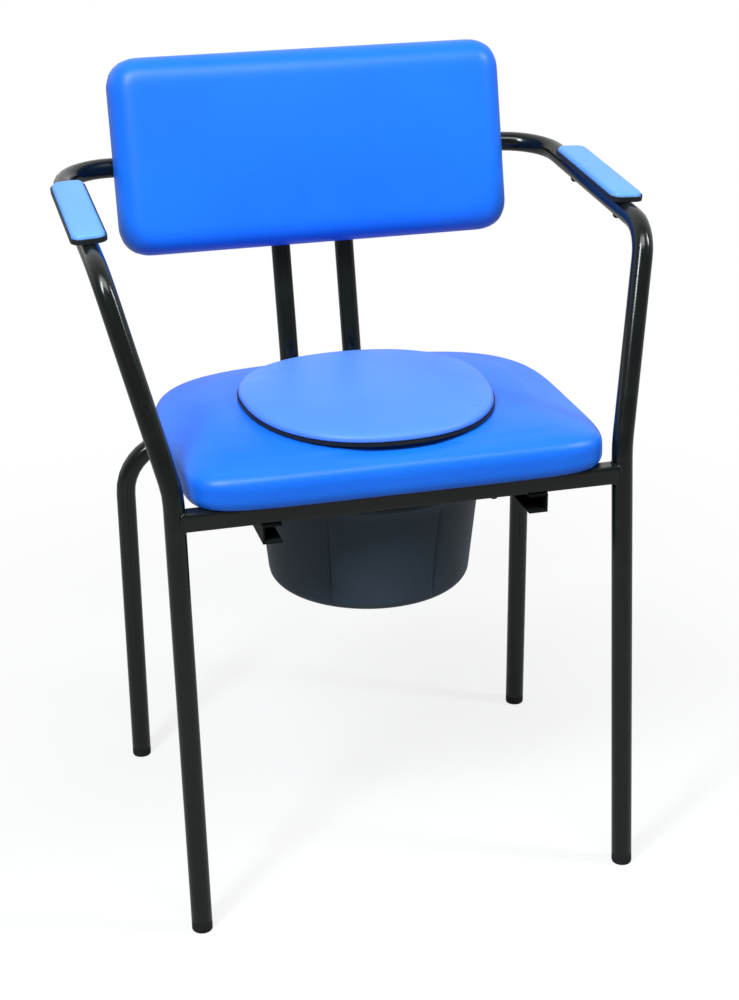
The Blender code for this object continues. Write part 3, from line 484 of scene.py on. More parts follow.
def border_rows(height, edge_r, hem_r, pocket=None):
    """(inset, height) of the border lines on face and back. pocket is (inset, depth) of the board."""
    back = quarter(hem_r, HEM_STEPS)
    if pocket:
        wall, deep = pocket
        back += [((hem_r + wall) / 2, 0), (wall, 0), (wall, deep / 2), (wall, deep), (edge_r, deep)]
    else:
        back += [(inset, 0) for inset in spread(hem_r, edge_r, (edge_r - hem_r) / BACK_STEPS)[1:]]
    face = [(inset, height - drop) for inset, drop in quarter(edge_r, len(back) - 1)]
    return face, back


def lattice_lines(half, rows, step):
    """(place, index of its border row) of each line across a sheet."""
    low = [(rows[i][0] - half, i) for i in range(len(rows))]
    inner = [(place, len(rows) - 1) for place in spread(low[-1][0], -low[-1][0], step)[1:-1]]
    return low + inner + [(-place, i) for place, i in reversed(low)]


def join_rings(form, rings):
    """Fills the bands between rings of points with quads."""
    for lower, upper in zip(rings, rings[1:]):
        for k in range(len(lower)):
            form.faces.new((lower[k - 1], lower[k], upper[k], upper[k - 1]))


def lattice_pad(half_x, half_y, rows, step, plan):
    """A closed pad on its own XY plane; plan(x, y, height, on_face) gives a point's place."""
    form = bmesh.new()
    sheets = []
    for on_face, border in ((False, rows[1]), (True, rows[0])):
        lines_x = lattice_lines(half_x, border, step)
        lines_y = lattice_lines(half_y, border, step)
        sheet = {}
        for i, (x, row_x) in enumerate(lines_x):
            for j, (y, row_y) in enumerate(lines_y):
                height = border[min(row_x, row_y)][1]
                sheet[i, j] = form.verts.new(plan(x, y, height, on_face))
        for i in range(len(lines_x) - 1):
            for j in range(len(lines_y) - 1):
                form.faces.new((sheet[i, j], sheet[i + 1, j], sheet[i + 1, j + 1], sheet[i, j + 1]))
        sheets.append(sheet)
    last_i, last_j = len(lines_x) - 1, len(lines_y) - 1
    edge = [(i, 0) for i in range(last_i)] + [(last_i, j) for j in range(last_j)]
    edge += [(i, last_j) for i in range(last_i, 0, -1)] + [(0, j) for j in range(last_j, 0, -1)]
    low_ring, high_ring = ([sheet[spot] for spot in edge] for sheet in sheets)
    rings = [low_ring]
    count = max(2, round((high_ring[0].co.z - low_ring[0].co.z) / step))
    for share in spread(0, 1, 1 / count)[1:-1]:
        rings.append([form.verts.new(a.co.lerp(b.co, share)) for a, b in zip(low_ring, high_ring)])
    join_rings(form, rings + [high_ring])
    return form


print("lattice ready")

# %% [markdown]
# Each boxed pad needs its own frame: where its back's middle is, and which way its face looks. A pad is
# even about its middle, so the main axes of its points are its own axes, and a singular value decomposition
# finds them. That is safer than repeating angles here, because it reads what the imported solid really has.

# %% Boxed pads
def pad_frame(node, outwards):
    """Matrix at the middle of a pad's back, X along it and Z out of its face, and its half sizes."""
    points = numpy.array([v.co for v in chair[node].data.vertices])
    points = numpy.unique(points.round(6), axis=0)
    axes = numpy.linalg.svd(points - points.mean(0), full_matrices=False)[2]
    along, out = Vector(axes[0]), Vector(axes[2])
    along *= math.copysign(1, along.x + along.y)
    out *= math.copysign(1, out.dot(outwards))
    turn = Matrix((along, out.cross(along), out)).transposed()
    local = points @ numpy.array(turn)
    low, high = Vector(local.min(0)), Vector(local.max(0))
    middle = (low + high) / 2
    middle.z = low.z
    return Matrix.Translation(turn @ middle) @ turn.to_4x4(), (high - low) / 2


def boxed_pad(place, half, corner_r, edge_r, hem_r, crown, step, pocket=None):
    """A pad with a rounded rectangular outline, put in its place."""
    height = 2 * half.z - crown

    def plan(x, y, z, on_face):
        inner = Vector((min(abs(x), half.x - corner_r), min(abs(y), half.y - corner_r)))
        out = Vector((abs(x), abs(y))) - inner
        if out.x > 0 and out.y > 0:
            out *= max(out) / out.length
        rise = crown * (1 - (x / half.x) ** 2) * (1 - (y / half.y) ** 2) if on_face else 0
        return math.copysign(inner.x + out.x, x), math.copysign(inner.y + out.y, y), z + rise

    form = lattice_pad(half.x, half.y, border_rows(height, edge_r, hem_r, pocket), step, plan)
    bmesh.ops.transform(form, matrix=place, verts=form.verts)
    return form


def held_below(place, height):
    """A test for the points that lie less than height above a pad's back."""
    inverse = place.inverted()
    return lambda point: (inverse @ point).z < height


print("boxed pads ready")

# %% [markdown]
# The backrest is one firm slab that leans with the uprights. Its vinyl is drawn round a board, so the back
# has a pocket for it, and only the face, the edges and the sides may swell.

# %% Backrest cover
BACK_CORNER_R = 0.032
BACK_EDGE_R = 0.026
BACK_HEM_R = 0.006
BACK_CROWN = 0.004
BACK_POCKET = (0.0137, 0.0103)   # inset and depth
BACK_HELD = BACK_POCKET[1] + 0.002
back_place, back_half = pad_frame("backrest_cushion", Vector((0, -1, 0)))
back_form = boxed_pad(back_place, back_half, BACK_CORNER_R, BACK_EDGE_R, BACK_HEM_R, BACK_CROWN, step=0.0045,
                      pocket=BACK_POCKET)
back_cover = stuffed("back_cover", back_form, "backrest_cushion", "frame", BLUE_VINYL,
                     held_below(back_place, BACK_HELD), pressure=2.0, cap=0.0022)

# %% [markdown]
# The arm pads are thin strips on black bases. They are laid out in the same way, with finer quads.

# %% Arm pads
ARM_CORNER_R = 0.010
ARM_EDGE_R = 0.0045
ARM_HEM_R = 0.001
ARM_CROWN = 0.0004
ARM_HELD = 0.0035
arm_trays = {}

for side in ("left", "right"):
    arm_place, arm_half = pad_frame("arm_pad_" + side, Vector((0, 0, 1)))
    arm_form = boxed_pad(arm_place, arm_half, ARM_CORNER_R, ARM_EDGE_R, ARM_HEM_R, ARM_CROWN, step=0.0025)
    arm_cover = stuffed("arm_cover_" + side, arm_form, "arm_pad_" + side, "frame", ARM_VINYL,
                        held_below(arm_place, ARM_HELD), pressure=1.5, cap=0.0006)
    arm_trays[side] = arm_place, arm_half

# %% [markdown]
# Each arm pad lies in a black tray whose wall hides the lower part of its side. The tray is a thin section
# carried round the pad's outline: a narrow floor that closes the slit beside the base, a wall and a lip.

# %% Arm trays
TRAY_GAP = 0.0004
TRAY_WALL = 0.0011
TRAY_LIP = 0.0022
TRAY_FLOOR_T = 0.0008
TRAY_FLOOR_IN = 0.0018
CORNER_STEP = math.pi / 20
LIP_STEP = math.pi / 6
EDGE_ANGLE = 50


def rounded_ring(half, corner_r, out, height):
    """Points round a rectangle with arcs for corners, pushed out by a distance."""
    points = []
    for quadrant, (sign_x, sign_y) in enumerate(((1, 1), (-1, 1), (-1, -1), (1, -1))):
        middle = Vector((sign_x * (half.x - corner_r), sign_y * (half.y - corner_r), height))
        for turn in spread(quadrant * math.pi / 2, (quadrant + 1) * math.pi / 2, CORNER_STEP):
            points.append(middle + (corner_r + out) * Vector((math.cos(turn), math.sin(turn), 0)))
    return points


def tray_section(low):
    """(distance out, height) round the tray's section, from its floor's inner edge."""
    half_wall = TRAY_WALL / 2
    section = [(-TRAY_FLOOR_IN, low), (-TRAY_FLOOR_IN, low + TRAY_FLOOR_T), (TRAY_GAP, low + TRAY_FLOOR_T),
               (TRAY_GAP, TRAY_LIP / 2)]
    for turn in spread(0, math.pi, LIP_STEP):
        section.append((TRAY_GAP + half_wall * (1 - math.cos(turn)), TRAY_LIP + half_wall * math.sin(turn)))
    return section + [(TRAY_GAP + TRAY_WALL, TRAY_LIP / 2), (TRAY_GAP + TRAY_WALL, low)]


for side, (arm_place, arm_half) in arm_trays.items():
    base = [arm_place.inverted() @ v.co for v in chair["arm_pad_base_" + side].data.vertices]
    section = tray_section(min(point.z for point in base))
    form = bmesh.new()
    rings = [[form.verts.new(p) for p in rounded_ring(arm_half, ARM_CORNER_R, out, z)] for out, z in section]
    join_rings(form, rings + rings[:1])
    bmesh.ops.transform(form, matrix=arm_place, verts=form.verts)
    mesh = finished_mesh("arm_tray_" + side, form, EDGE_ANGLE)
    tray = new_piece("arm_tray_" + side, mesh, BLACK_PLASTIC, "frame")
    print(tray.name, "section of", len(section), "points")

# %% [markdown]
# The cover's pad is an oval, deeper at the front than at the rear, on a thin black board whose edge is the
# dark line around it. Its plan draws each square ring of the lattice to a rounded outline: the sum of two
# powers is 1 all along it, and a power a little over 2 makes it slightly fuller than an ellipse.

# %% Cover pad
LID_REAR = 0.1135
LID_POWER = 2.25
LID_EDGE_R = 0.0060
LID_HEM_R = 0.0012
LID_CROWN = 0.0018
LID_HEIGHT = 0.0085
LID_HELD = 0.002
LID_LOW, LID_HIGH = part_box("lid_cushion")
LID_HALF = (LID_HIGH.x - LID_LOW.x) / 2
LID_FRONT = LID_HIGH.y - LID_LOW.y - LID_REAR


def power_size(u, v, power):
    """1 on a rounded outline of half size 1, less inside it."""
    return (abs(u) ** power + abs(v) ** power) ** (1 / power)


def lid_plan(x, y, z, on_face):
    u, v = x / LID_HALF, y / LID_HALF
    if u or v:
        reach = max(abs(u), abs(v)) / power_size(u, v, LID_POWER)
        u, v = u * reach, v * reach
    depth = LID_FRONT if v < 0 else LID_REAR
    rise = LID_CROWN * (1 - u * u - v * v) if on_face else 0
    return LID_HALF * u, LID_HIGH.y - LID_REAR + depth * v, LID_LOW.z + z + rise


def lid_held(point):
    return point.z < LID_LOW.z + LID_HELD


lid_rows = border_rows(LID_HEIGHT, LID_EDGE_R, LID_HEM_R)
lid_form = lattice_pad(LID_HALF, LID_HALF, lid_rows, step=0.0035, plan=lid_plan)
lid_cover = stuffed("lid_cover", lid_form, "lid_cushion", "cover", COVER_VINYL, lid_held,
                    pressure=1.5, cap=0.0010)

# %% [markdown]
# The seat is a rounded bar of foam all the way round an oval hole, squarer in front than behind. It is laid
# out in rings: up the hole's wall, over its edge, across the top, down the rounded rim, round the hem and
# back under the foam along the board. Its section has a rule like the outline's, with its own power.

# %% Seat's outline and section
SEAT_REAR_POWER = 3.3
SEAT_FRONT_POWER = 8.0
SEAT_EDGE_POWER = 4.6
SEAT_SECTION_HALF = 0.0269
SEAT_HEIGHT = 0.043
SEAT_CROWN = 0.002
SEAT_HEM = 0.0025
SEAT_TURNS = 240
RIM_FINE_STEP = 0.002
SEAT_LOW, SEAT_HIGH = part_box("seat_cushion")
SEAT_MIDDLE = (SEAT_LOW + SEAT_HIGH) / 2
SEAT_HALF = (SEAT_HIGH - SEAT_LOW) / 2
SEAT_EQUATOR = SEAT_LOW.z + SEAT_HEIGHT - SEAT_SECTION_HALF


def outline(middle, half_x, half_y, rear_power, front_power):
    """Points all round, at even angles from the middle."""
    points = []
    for i in range(SEAT_TURNS):
        u, v = math.cos(math.tau * i / SEAT_TURNS), math.sin(math.tau * i / SEAT_TURNS)
        size = power_size(u, v, front_power if v < 0 else rear_power)
        points.append(Vector((middle.x + half_x * u / size, middle.y + half_y * v / size, 0)))
    return points


def seat_top(point):
    """Height of the seat's top at a point."""
    u, v = (point.x - SEAT_MIDDLE.x) / SEAT_HALF.x, (point.y - SEAT_MIDDLE.y) / SEAT_HALF.y
    size = power_size(u, v, SEAT_FRONT_POWER if v < 0 else SEAT_REAR_POWER)
    rise = max(1 - size ** SEAT_EDGE_POWER, 0) ** (1 / SEAT_EDGE_POWER)
    return SEAT_EQUATOR + (SEAT_SECTION_HALF + SEAT_CROWN * (1 - (u * u + v * v) / 2)) * rise


def rim_section(start, count):
    """(share of the outline, height) down the rim to the hem, evenly spaced along it."""
    fine = []
    for turn in spread(math.acos(start ** (SEAT_EDGE_POWER / 2)), -math.pi / 2, RIM_FINE_STEP):
        share = abs(math.cos(turn)) ** (2 / SEAT_EDGE_POWER)
        rise = math.copysign(abs(math.sin(turn)) ** (2 / SEAT_EDGE_POWER), turn) * SEAT_SECTION_HALF
        if SEAT_EQUATOR + rise > SEAT_LOW.z + SEAT_HEM:
            fine.append((share, SEAT_EQUATOR + rise))
    way = [0.0]
    for (share_a, z_a), (share_b, z_b) in zip(fine, fine[1:]):
        way.append(way[-1] + math.hypot((share_b - share_a) * SEAT_HALF.x, z_b - z_a))
    wanted = spread(0, way[-1], way[-1] / count)[1:]
    return [fine[min(range(len(way)), key=lambda k: abs(way[k] - goal))] for goal in wanted]


print("seat", [round(2 * v, 3) for v in SEAT_HALF])

# %% [markdown]
# Now the rings. What lies on the board, in its pocket, in the hole or under the cover is pinned, so the
# cover still lies flat and its plug still drops into the hole.

# %% Seat cover
HOLE_EDGE_R = 0.006
HOLE_EDGE_STEPS = 4
PLUG_ROOM = 0.006
TOUCH = 0.0003
RIM_START = 0.80
RIM_RINGS = 18
TOP_RINGS = 14
UNDER_SHARES = (0.3, 0.6, 0.9)
HEM_SHARE = 0.35
WALL_STEP = 0.005
POCKET_STEP = 0.004
SEAT_HELD = 0.013
COVER_ROOM = 0.004
BOARD_LOW, BOARD_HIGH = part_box("seat_board")
PLUG_LOW, PLUG_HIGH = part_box("lid_plug")
RIM_LOW, RIM_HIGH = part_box("lid_board")


def level(points, height):
    """The same points, all at one height."""
    return [Vector((p.x, p.y, height)) for p in points]


def between(points, others, share):
    """Points on the way from one ring to another."""
    return [p.lerp(q, share) for p, q in zip(points, others)]


def seat_rings():
    powers = (SEAT_REAR_POWER, SEAT_FRONT_POWER)
    outer = outline(SEAT_MIDDLE, SEAT_HALF.x, SEAT_HALF.y, *powers)
    board = (BOARD_HIGH - BOARD_LOW) / 2
    pocket = outline(SEAT_MIDDLE, board.x + TOUCH, board.y + TOUCH, *powers)
    plug = (PLUG_HIGH - PLUG_LOW) / 2
    hole_middle = (PLUG_LOW + PLUG_HIGH) / 2
    centre = level([SEAT_MIDDLE] * SEAT_TURNS, 0)
    foam_low = BOARD_HIGH.z + TOUCH

    def hole(extra):
        return outline(hole_middle, plug.x + extra, plug.y + extra, LID_POWER, LID_POWER)

    rings = [level(between(pocket, hole(PLUG_ROOM), share), foam_low) for share in UNDER_SHARES]
    wall_top = SEAT_LOW.z + SEAT_HEIGHT - HOLE_EDGE_R
    rings += [level(hole(PLUG_ROOM), height) for height in spread(foam_low, wall_top, WALL_STEP)]
    for inset, drop in quarter(HOLE_EDGE_R, HOLE_EDGE_STEPS)[1:]:
        rings.append([Vector((p.x, p.y, seat_top(p) - drop)) for p in hole(PLUG_ROOM + inset)])
    mouth = hole(PLUG_ROOM + HOLE_EDGE_R)
    rim = between(centre, outer, RIM_START)
    for share in spread(0, 1, 1 / TOP_RINGS)[1:]:
        rings.append([Vector((p.x, p.y, seat_top(p))) for p in between(mouth, rim, share)])
    for share, height in rim_section(RIM_START, RIM_RINGS):
        rings.append(level(between(centre, outer, share), height))
    hem = between(outer, pocket, HEM_SHARE)
    rings += [level(between(rings[-1], hem, HEM_SHARE), SEAT_LOW.z + SEAT_HEM / 5), level(hem, SEAT_LOW.z)]
    rings += [level(pocket, height) for height in spread(SEAT_LOW.z, foam_low, POCKET_STEP)]
    return rings


def seat_held(point):
    across = (point.x - SEAT_MIDDLE.x) / (RIM_HIGH.x + COVER_ROOM)
    along = (point.y - (RIM_LOW.y + RIM_HIGH.y) / 2) / ((RIM_HIGH.y - RIM_LOW.y) / 2 + COVER_ROOM)
    return point.z < SEAT_LOW.z + SEAT_HELD or power_size(across, along, LID_POWER) < 1


seat_form = bmesh.new()
seat_points = [[seat_form.verts.new(p) for p in ring] for ring in seat_rings()]
join_rings(seat_form, seat_points + seat_points[:1])
seat_cover = stuffed("seat_cover", seat_form, "seat_cushion", "frame", BLUE_VINYL, seat_held,
                     pressure=2.5, cap=0.0025)

# %% [markdown]
# The pail is a turned shape, so its profile is spun round an upright axis. Real moulds leave a soft radius
# on every edge, and this one has six shallow upright creases. The spin is fine enough that each crease is
# real geometry: the wall's points are pressed in by a smooth bell curve around each crease.

# %% Pail's profile
PAIL_LOW, PAIL_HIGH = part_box("pail")
PAIL_AXIS = (PAIL_LOW + PAIL_HIGH) / 2
PAIL_RIM_R = (PAIL_HIGH.x - PAIL_LOW.x) / 2
PAIL_TOP_R = 0.1215
PAIL_FOOT_R = 0.1090
PAIL_WALL = 0.0025
PAIL_FILLET_R = 0.012
PAIL_RIM_LOW = PAIL_HIGH.z - 0.009
PAIL_FOOT_RING = (0.070, 0.074)   # where the raised middle of the bottom slopes down
PAIL_RAISED = 0.0012
EAR_T = 0.003
EAR_FILLET = (0.0012, 0.0006)
WALL_RISE = 0.010
INNER_RISE = 0.015
INNER_DROP = 0.002


def arc(centre, radius, start, end, count):
    """Points (out, up) on part of a circle, angles in degrees from straight out."""
    points = []
    for turn in spread(math.radians(start), math.radians(end), math.radians(abs(end - start)) / count):
        points.append((centre[0] + radius * math.cos(turn), centre[1] + radius * math.sin(turn)))
    return points


def pail_profile():
    foot = PAIL_LOW.z
    slope = (PAIL_TOP_R - PAIL_FOOT_R) / (PAIL_RIM_LOW - foot)
    corner = (PAIL_FOOT_R + slope * PAIL_FILLET_R - PAIL_FILLET_R, foot + PAIL_FILLET_R)
    outer = [(0, foot + PAIL_RAISED), (PAIL_FOOT_RING[0], foot + PAIL_RAISED), (PAIL_FOOT_RING[1], foot)]
    outer += arc(corner, PAIL_FILLET_R, start=-90, end=-4, count=8)
    for up in spread(foot + PAIL_FILLET_R, PAIL_RIM_LOW - EAR_T, WALL_RISE)[1:]:
        outer.append((PAIL_FOOT_R + slope * (up - foot), up))
    rim = [(PAIL_TOP_R + EAR_FILLET[0], PAIL_RIM_LOW - EAR_FILLET[1]), (PAIL_TOP_R + EAR_T, PAIL_RIM_LOW)]
    rim += arc((PAIL_RIM_R - EAR_T / 2, PAIL_RIM_LOW + EAR_T / 2), EAR_T / 2, start=-90, end=90, count=8)
    rim += [(PAIL_TOP_R + EAR_T, PAIL_RIM_LOW + EAR_T), (PAIL_TOP_R, PAIL_RIM_LOW + EAR_T * 1.5)]
    lip = PAIL_WALL / 2
    rim += arc((PAIL_TOP_R - lip, PAIL_HIGH.z - lip), lip, start=0, end=180, count=6)
    inner = []
    for up in spread(PAIL_HIGH.z - INNER_DROP, foot + PAIL_FILLET_R, INNER_RISE):
        inner.append((PAIL_FOOT_R + slope * (up - foot) - PAIL_WALL, up))
    inner += arc(corner, PAIL_FILLET_R - PAIL_WALL, start=-8, end=-90, count=6)
    return outer + rim + inner + [(0, foot + PAIL_WALL)]


print("profile of", len(pail_profile()), "points")

# %% [markdown]
# The rim keeps only two ears, which run in the channels. Between them it is drawn in to a narrow bead, by
# moving each rim point straight towards the axis until it is inside the ears' edge.

# %% Pail
PAIL_EAR = 0.085
PAIL_BEAD_R = PAIL_TOP_R + 0.0015
PAIL_CREASES = 6
PAIL_CREASE_TURN = math.radians(24)
PAIL_CREASE_DEPTH = 0.0026
PAIL_CREASE_WIDTH = 0.0022
PAIL_CREASE_FADE = 0.008
PAIL_CREASE_MARGIN = 0.006
PAIL_SEGMENTS = 360


def crease(place):
    """How far a point of the wall is pressed in."""
    out = math.hypot(place.x, place.y)
    low, high = PAIL_LOW.z + PAIL_CREASE_MARGIN, PAIL_RIM_LOW - PAIL_CREASE_MARGIN
    if out < PAIL_FOOT_R - PAIL_CREASE_MARGIN or not low < place.z < high:
        return 0.0
    step = math.tau / PAIL_CREASES
    turn = (math.atan2(place.x, -place.y) - PAIL_CREASE_TURN + step / 2) % step - step / 2
    fade = min(1.0, (place.z - low) / PAIL_CREASE_FADE, (high - place.z) / PAIL_CREASE_FADE)
    return PAIL_CREASE_DEPTH * math.exp(-(turn * out / PAIL_CREASE_WIDTH) ** 2) * fade


def make_pail():
    form = bmesh.new()
    points = [form.verts.new((out, 0, up)) for out, up in pail_profile()]
    edges = [form.edges.new(pair) for pair in zip(points, points[1:])]
    bmesh.ops.spin(form, geom=points + edges, cent=(0, 0, 0), axis=(0, 0, 1), angle=math.tau,
                   steps=PAIL_SEGMENTS, use_merge=True)
    for vert in form.verts:
        out = math.hypot(vert.co.x, vert.co.y)
        goal = out - crease(vert.co)
        if out > PAIL_BEAD_R and abs(vert.co.y) > PAIL_EAR:
            goal = max(PAIL_BEAD_R, PAIL_EAR * out / abs(vert.co.y))
        if out:
            vert.co.x *= goal / out
            vert.co.y *= goal / out
    bmesh.ops.remove_doubles(form, verts=form.verts, dist=MERGE)
    bmesh.ops.translate(form, verts=form.verts, vec=(PAIL_AXIS.x, PAIL_AXIS.y, 0))
    return finished_mesh("pail_shell", form, EDGE_ANGLE)


pail_shell = new_piece("pail_shell", make_pail(), PAIL_PLASTIC, "pail")
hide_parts("pail")
print("pail", len(pail_shell.data.polygons), "faces")

# %% [markdown]
# Where tubes join, the welder leaves a small rippled bead that the paint covers. Each bead is a thin tube
# swept along the line where two pieces meet, and its thickness rises and falls along the way, as a row of
# puddles does. It is small, but a joint without one looks like two shapes that pass through each other.

# %% Weld beads
TUBE_R = 0.011
BEAD_R = 0.0016
PATCH_BEAD_R = 0.0019
RUN_BEAD_R = 0.0012
RIPPLE_MIDDLE, RIPPLE_HEIGHT, RIPPLE_TURN = 0.9, 0.16, 1.9
RAIL_POWER = 8
RAIL_TURNS = 48
LEAST_REACH = 0.002


def bead(name, points, closed, radius=BEAD_R):
    """A rippled tube along the points, as a closed mesh."""
    path = bpy.data.curves.new(name, "CURVE")
    path.dimensions = "3D"
    path.bevel_depth = radius
    path.bevel_resolution = 2
    path.use_fill_caps = True
    spline = path.splines.new("POLY")
    spline.points.add(len(points) - 1)
    spline.use_cyclic_u = closed
    for i, place in enumerate(points):
        spline.points[i].co = (*place, 1)
        spline.points[i].radius = RIPPLE_MIDDLE + RIPPLE_HEIGHT * math.sin(i * RIPPLE_TURN)
    helper = bpy.data.objects.new(name, path)
    bpy.context.scene.collection.objects.link(helper)
    swept = bpy.data.meshes.new_from_object(helper.evaluated_get(bpy.context.evaluated_depsgraph_get()))
    bpy.data.objects.remove(helper)
    form = bmesh.new()
    form.from_mesh(swept)
    bpy.data.meshes.remove(swept)
    bmesh.ops.remove_doubles(form, verts=form.verts, dist=MERGE)
    piece = new_piece(name, finished_mesh(name, form), FRAME_PAINT, "frame")
    return piece


FOOT_LOW, FOOT_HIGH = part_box("front_left_foot")
RAIL_LOW, RAIL_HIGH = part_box("front_rail")
LEG_X = -(FOOT_LOW.x + FOOT_HIGH.x) / 2
RAIL_MIDDLE = (RAIL_LOW + RAIL_HIGH) / 2
RAIL_HALF = (RAIL_HIGH.z - RAIL_LOW.z) / 2


def rail_end(side):
    """The rail's square section, each point pushed out until it meets the round leg."""
    points = []
    for turn in spread(0, math.tau, math.tau / RAIL_TURNS)[:-1]:
        size = power_size(math.cos(turn), math.sin(turn), RAIL_POWER)
        across = RAIL_HALF * math.cos(turn) / size
        up = RAIL_HALF * math.sin(turn) / size
        meet = LEG_X - math.sqrt(max(TUBE_R ** 2 - across ** 2, LEAST_REACH ** 2))
        points.append((side * meet, RAIL_MIDDLE.y + across, RAIL_MIDDLE.z + up))
    return points


SIDES = ((-1, "left"), (1, "right"))
for side, word in SIDES:
    bead("rail_weld_" + word, rail_end(side), True)
print("rail welds made")

# %% [markdown]
# The two uprights cross behind the rear bar and end under the back bar. There the bead follows the saddle
# curve of one cylinder on another, found by sliding each point of the upright's ring along its axis until
# it lies on the bar. Where an upright only touches the rear bar, a small ring is enough.

# %% Welds of the uprights
BAR_LOW, BAR_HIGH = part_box("rear_leg_hoop")
UP_LOW, UP_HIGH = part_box("back_upright_right")
UPRIGHT_X = (UP_LOW.x + UP_HIGH.x) / 2
BACK_UP = back_place.to_3x3().col[1]
BACK_FACE = back_place.to_3x3().col[2]
BACK_BAR = Vector((0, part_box("front_leg_arm_hoop")[1].y - TUBE_R, UP_HIGH.z))
REAR_BAR_Y = (BAR_LOW.y + BAR_HIGH.y) / 2
REAR_BAR_Z = BAR_HIGH.z - TUBE_R
PATCH_R = 0.0058
SADDLE_SHARE = 0.96
RING_TURNS = 36

for side, word in SIDES:
    saddle = []
    patch = []
    for turn in spread(0, math.tau, math.tau / RING_TURNS)[:-1]:
        out = TUBE_R * SADDLE_SHARE * math.sin(turn)
        slide = -math.sqrt(TUBE_R ** 2 - out ** 2)
        middle = BACK_BAR + Vector((side * UPRIGHT_X + TUBE_R * math.cos(turn), 0, 0))
        saddle.append(middle + BACK_FACE * out + BACK_UP * slide)
        ring = Vector((side * UPRIGHT_X, REAR_BAR_Y + TUBE_R, REAR_BAR_Z))
        patch.append(ring + PATCH_R * Vector((math.cos(turn), 0, math.sin(turn))))
    bead("upright_top_weld_" + word, saddle, True)
    bead("upright_low_weld_" + word, patch, True, PATCH_BEAD_R)
print("upright welds made")

# %% [markdown]
# The channels hang under the front rail and lie on the rear bar, and the rear rail lies on them. Short
# straight beads run along the edges that touch.

# %% Welds of the channels
CHANNEL_LOW, CHANNEL_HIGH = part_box("pail_channel_right")
REAR_LOW, REAR_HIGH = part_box("rear_rail")
RUN_INSET = 0.002
RUN_HALF = 0.005
RUN_POINTS = 14
RUNS = (
    ("channel_weld", CHANNEL_HIGH.z, RAIL_LOW.y + RUN_INSET, RAIL_HIGH.y - RUN_INSET),
    ("bar_weld", CHANNEL_LOW.z, REAR_BAR_Y - RUN_HALF, REAR_BAR_Y + RUN_HALF),
    ("rear_rail_weld", CHANNEL_HIGH.z, REAR_LOW.y + RUN_INSET, REAR_HIGH.y - RUN_INSET),
)

for side, word in SIDES:
    for edge, x in (("inner", CHANNEL_LOW.x), ("outer", CHANNEL_HIGH.x)):
        for name, z, front, rear in RUNS:
            points = [(side * x, y, z) for y in spread(front, rear, (rear - front) / RUN_POINTS)]
            bead("%s_%s_%s" % (name, word, edge), points, False, RUN_BEAD_R)
print("channel welds made")

# %% [markdown]
# A plain studio on pale paper. The background is white only to the camera and in mirror images of what is
# behind the chair. The room in front is dim, as a real studio is, so that black paint stays black. The
# paper throws back little light, so undersides stay deep in colour, and away from the chair it fades to
# plain white. It lies a hair under the feet and is clear from below, so that the underside can be seen.

# %% Floor and world
FLOOR_HALF = 60
FLOOR_DROP = 0.0004
PAPER_PALE = (0.88, 0.88, 0.88, 1)
PAPER_DARK = (0.25, 0.25, 0.25, 1)
WHITE = (1, 1, 1, 1)
NEAR_WHITE = 0.80   # share of plain white under the chair
MIRRORED_WHITE = 0.35
FADE_FROM, FADE_TO = 0.3, 1.3
ROOM_LIGHT = 0.23
ROOM_FRONT, ROOM_REAR = -0.3, 0.6


def ray(start, name):
    """1 for rays of one kind, 0 for the others."""
    return start.node("ShaderNodeLightPath", out=name)


def seen_rays(start):
    """1 for what the camera sees, directly or through something clear."""
    return ray(start, "Is Camera Ray") + ray(start, "Is Transmission Ray")


def ramp(start, value, low, high):
    """A smooth rise from 0 at low to 1 at high."""
    inputs = {"Value": value, "From Min": low, "From Max": high}
    return start.node("ShaderNodeMapRange", {"interpolation_type": "SMOOTHSTEP"}, inputs)


def make_floor():
    form = bmesh.new()
    bmesh.ops.create_grid(form, x_segments=8, y_segments=8, size=FLOOR_HALF)
    mesh = bpy.data.meshes.new("studio_floor")
    form.to_mesh(mesh)
    form.free()
    floor = bpy.data.objects.new("studio_floor", mesh)
    floor.location.z = -FLOOR_DROP
    bpy.context.scene.collection.objects.link(floor)
    paper = bpy.data.materials.new("studio_paper")
    paper.use_nodes = True
    tree = paper.node_tree
    tree.nodes.clear()
    start = Wire(tree)
    place = start.node("ShaderNodeTexCoord", out="Object")
    away = start.node("ShaderNodeVectorMath", {"operation": "LENGTH"}, {0: place}, out="Value")
    mirrored = ray(start, "Is Glossy Ray")
    fade = NEAR_WHITE + ramp(start, away, FADE_FROM, FADE_TO) * (1 - NEAR_WHITE)
    share = seen_rays(start) * fade + mirrored * MIRRORED_WHITE
    pale = start.node("ShaderNodeBsdfDiffuse", None, {"Color": PAPER_PALE})
    dark = start.node("ShaderNodeBsdfDiffuse", None, {"Color": PAPER_DARK})
    thrown = ray(start, "Is Diffuse Ray") + mirrored
    shade = start.node("ShaderNodeMixShader", None, {0: thrown, 1: pale, 2: dark})
    glow = start.node("ShaderNodeEmission", None, {"Color": WHITE, "Strength": 1.0})
    top = start.node("ShaderNodeMixShader", None, {0: share, 1: shade, 2: glow})
    clear = start.node("ShaderNodeBsdfTransparent")
    under = start.node("ShaderNodeNewGeometry", out="Backfacing")
    mixed = start.node("ShaderNodeMixShader", None, {0: under, 1: top, 2: clear})
    end = tree.nodes.new("ShaderNodeOutputMaterial")
    tree.links.new(mixed.socket, end.inputs["Surface"])
    mesh.materials.append(paper)


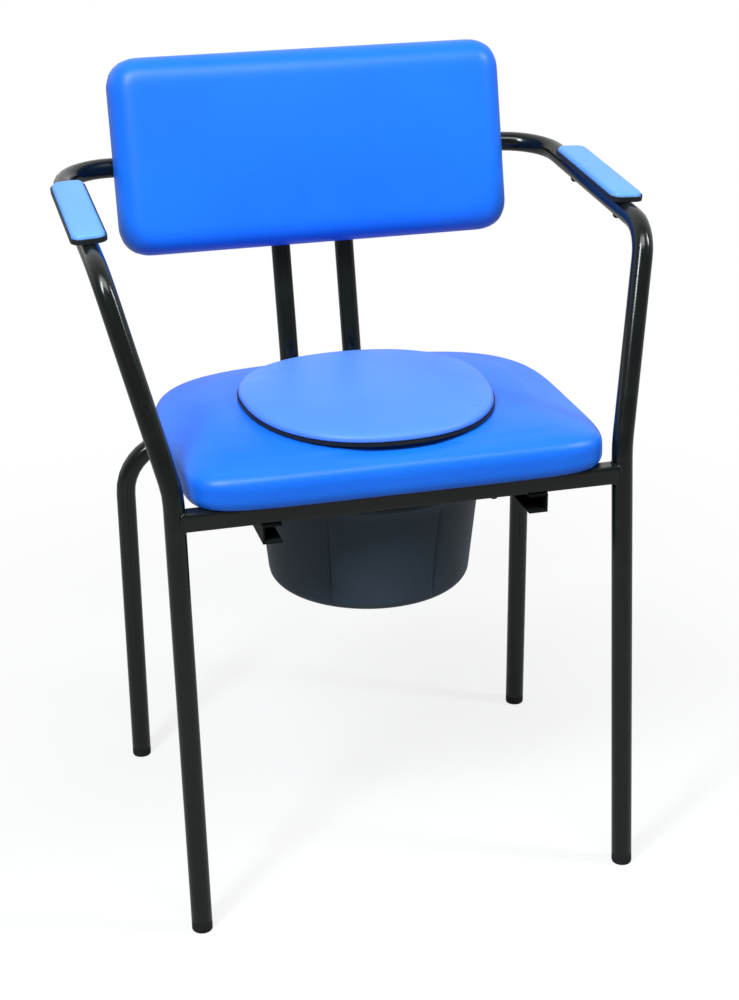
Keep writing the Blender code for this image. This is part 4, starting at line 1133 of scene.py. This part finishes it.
def make_world():
    world = bpy.data.worlds.new("studio_world")
    bpy.context.scene.world = world
    world.use_nodes = True
    tree = world.node_tree
    tree.nodes.clear()
    start = Wire(tree)
    direction = start.node("ShaderNodeTexCoord", out="Generated")
    rearward = start.node("ShaderNodeSeparateXYZ", None, {0: direction}, out="Y")
    behind = ramp(start, rearward, ROOM_FRONT, ROOM_REAR)
    share = seen_rays(start) + ray(start, "Is Glossy Ray") * behind
    room = start.node("ShaderNodeBackground", None, {"Color": WHITE, "Strength": ROOM_LIGHT})
    white = start.node("ShaderNodeBackground", None, {"Color": WHITE, "Strength": 1.0})
    mixed = start.node("ShaderNodeMixShader", None, {0: share, 1: room, 2: white})
    end = tree.nodes.new("ShaderNodeOutputWorld")
    tree.links.new(mixed.socket, end.inputs["Surface"])


make_floor()
make_world()
print("floor and world ready")

# %% [markdown]
# Two tall lamps stand high on the left and on the right. They are narrow, so each one leaves a crisp bluish
# glint where the arms bend, and the left one is the stronger. A wide lamp above the front gives the pads
# a broad sheen along their rounded edges.

# %% Lamps
BLUISH = (0.88, 0.95, 1.0)
CHAIR_MIDDLE = (0, 0, 0.6)
SEAT_LEVEL = (0, 0, 0.5)


def lamp(name, place, aim, size, power, colour=(1, 1, 1)):
    """A flat lamp of a size in metres and a power in watts, turned to what it lights."""
    light = bpy.data.lights.new(name, "AREA")
    light.shape = "RECTANGLE"
    light.size, light.size_y = size
    light.energy = power
    light.color = colour
    holder = bpy.data.objects.new(name, light)
    holder.location = place
    holder.rotation_euler = (Vector(aim) - Vector(place)).to_track_quat("-Z", "Y").to_euler()
    bpy.context.scene.collection.objects.link(holder)


lamp("key_lamp", (-1.35, -1.25, 2.35), CHAIR_MIDDLE, size=(0.35, 1.0), power=48, colour=BLUISH)
lamp("side_lamp", (1.75, -0.75, 2.05), CHAIR_MIDDLE, size=(0.30, 0.8), power=24, colour=BLUISH)
lamp("top_lamp", (-0.2, -1.1, 2.7), SEAT_LEVEL, size=(1.8, 0.8), power=34)
print("lamps ready")
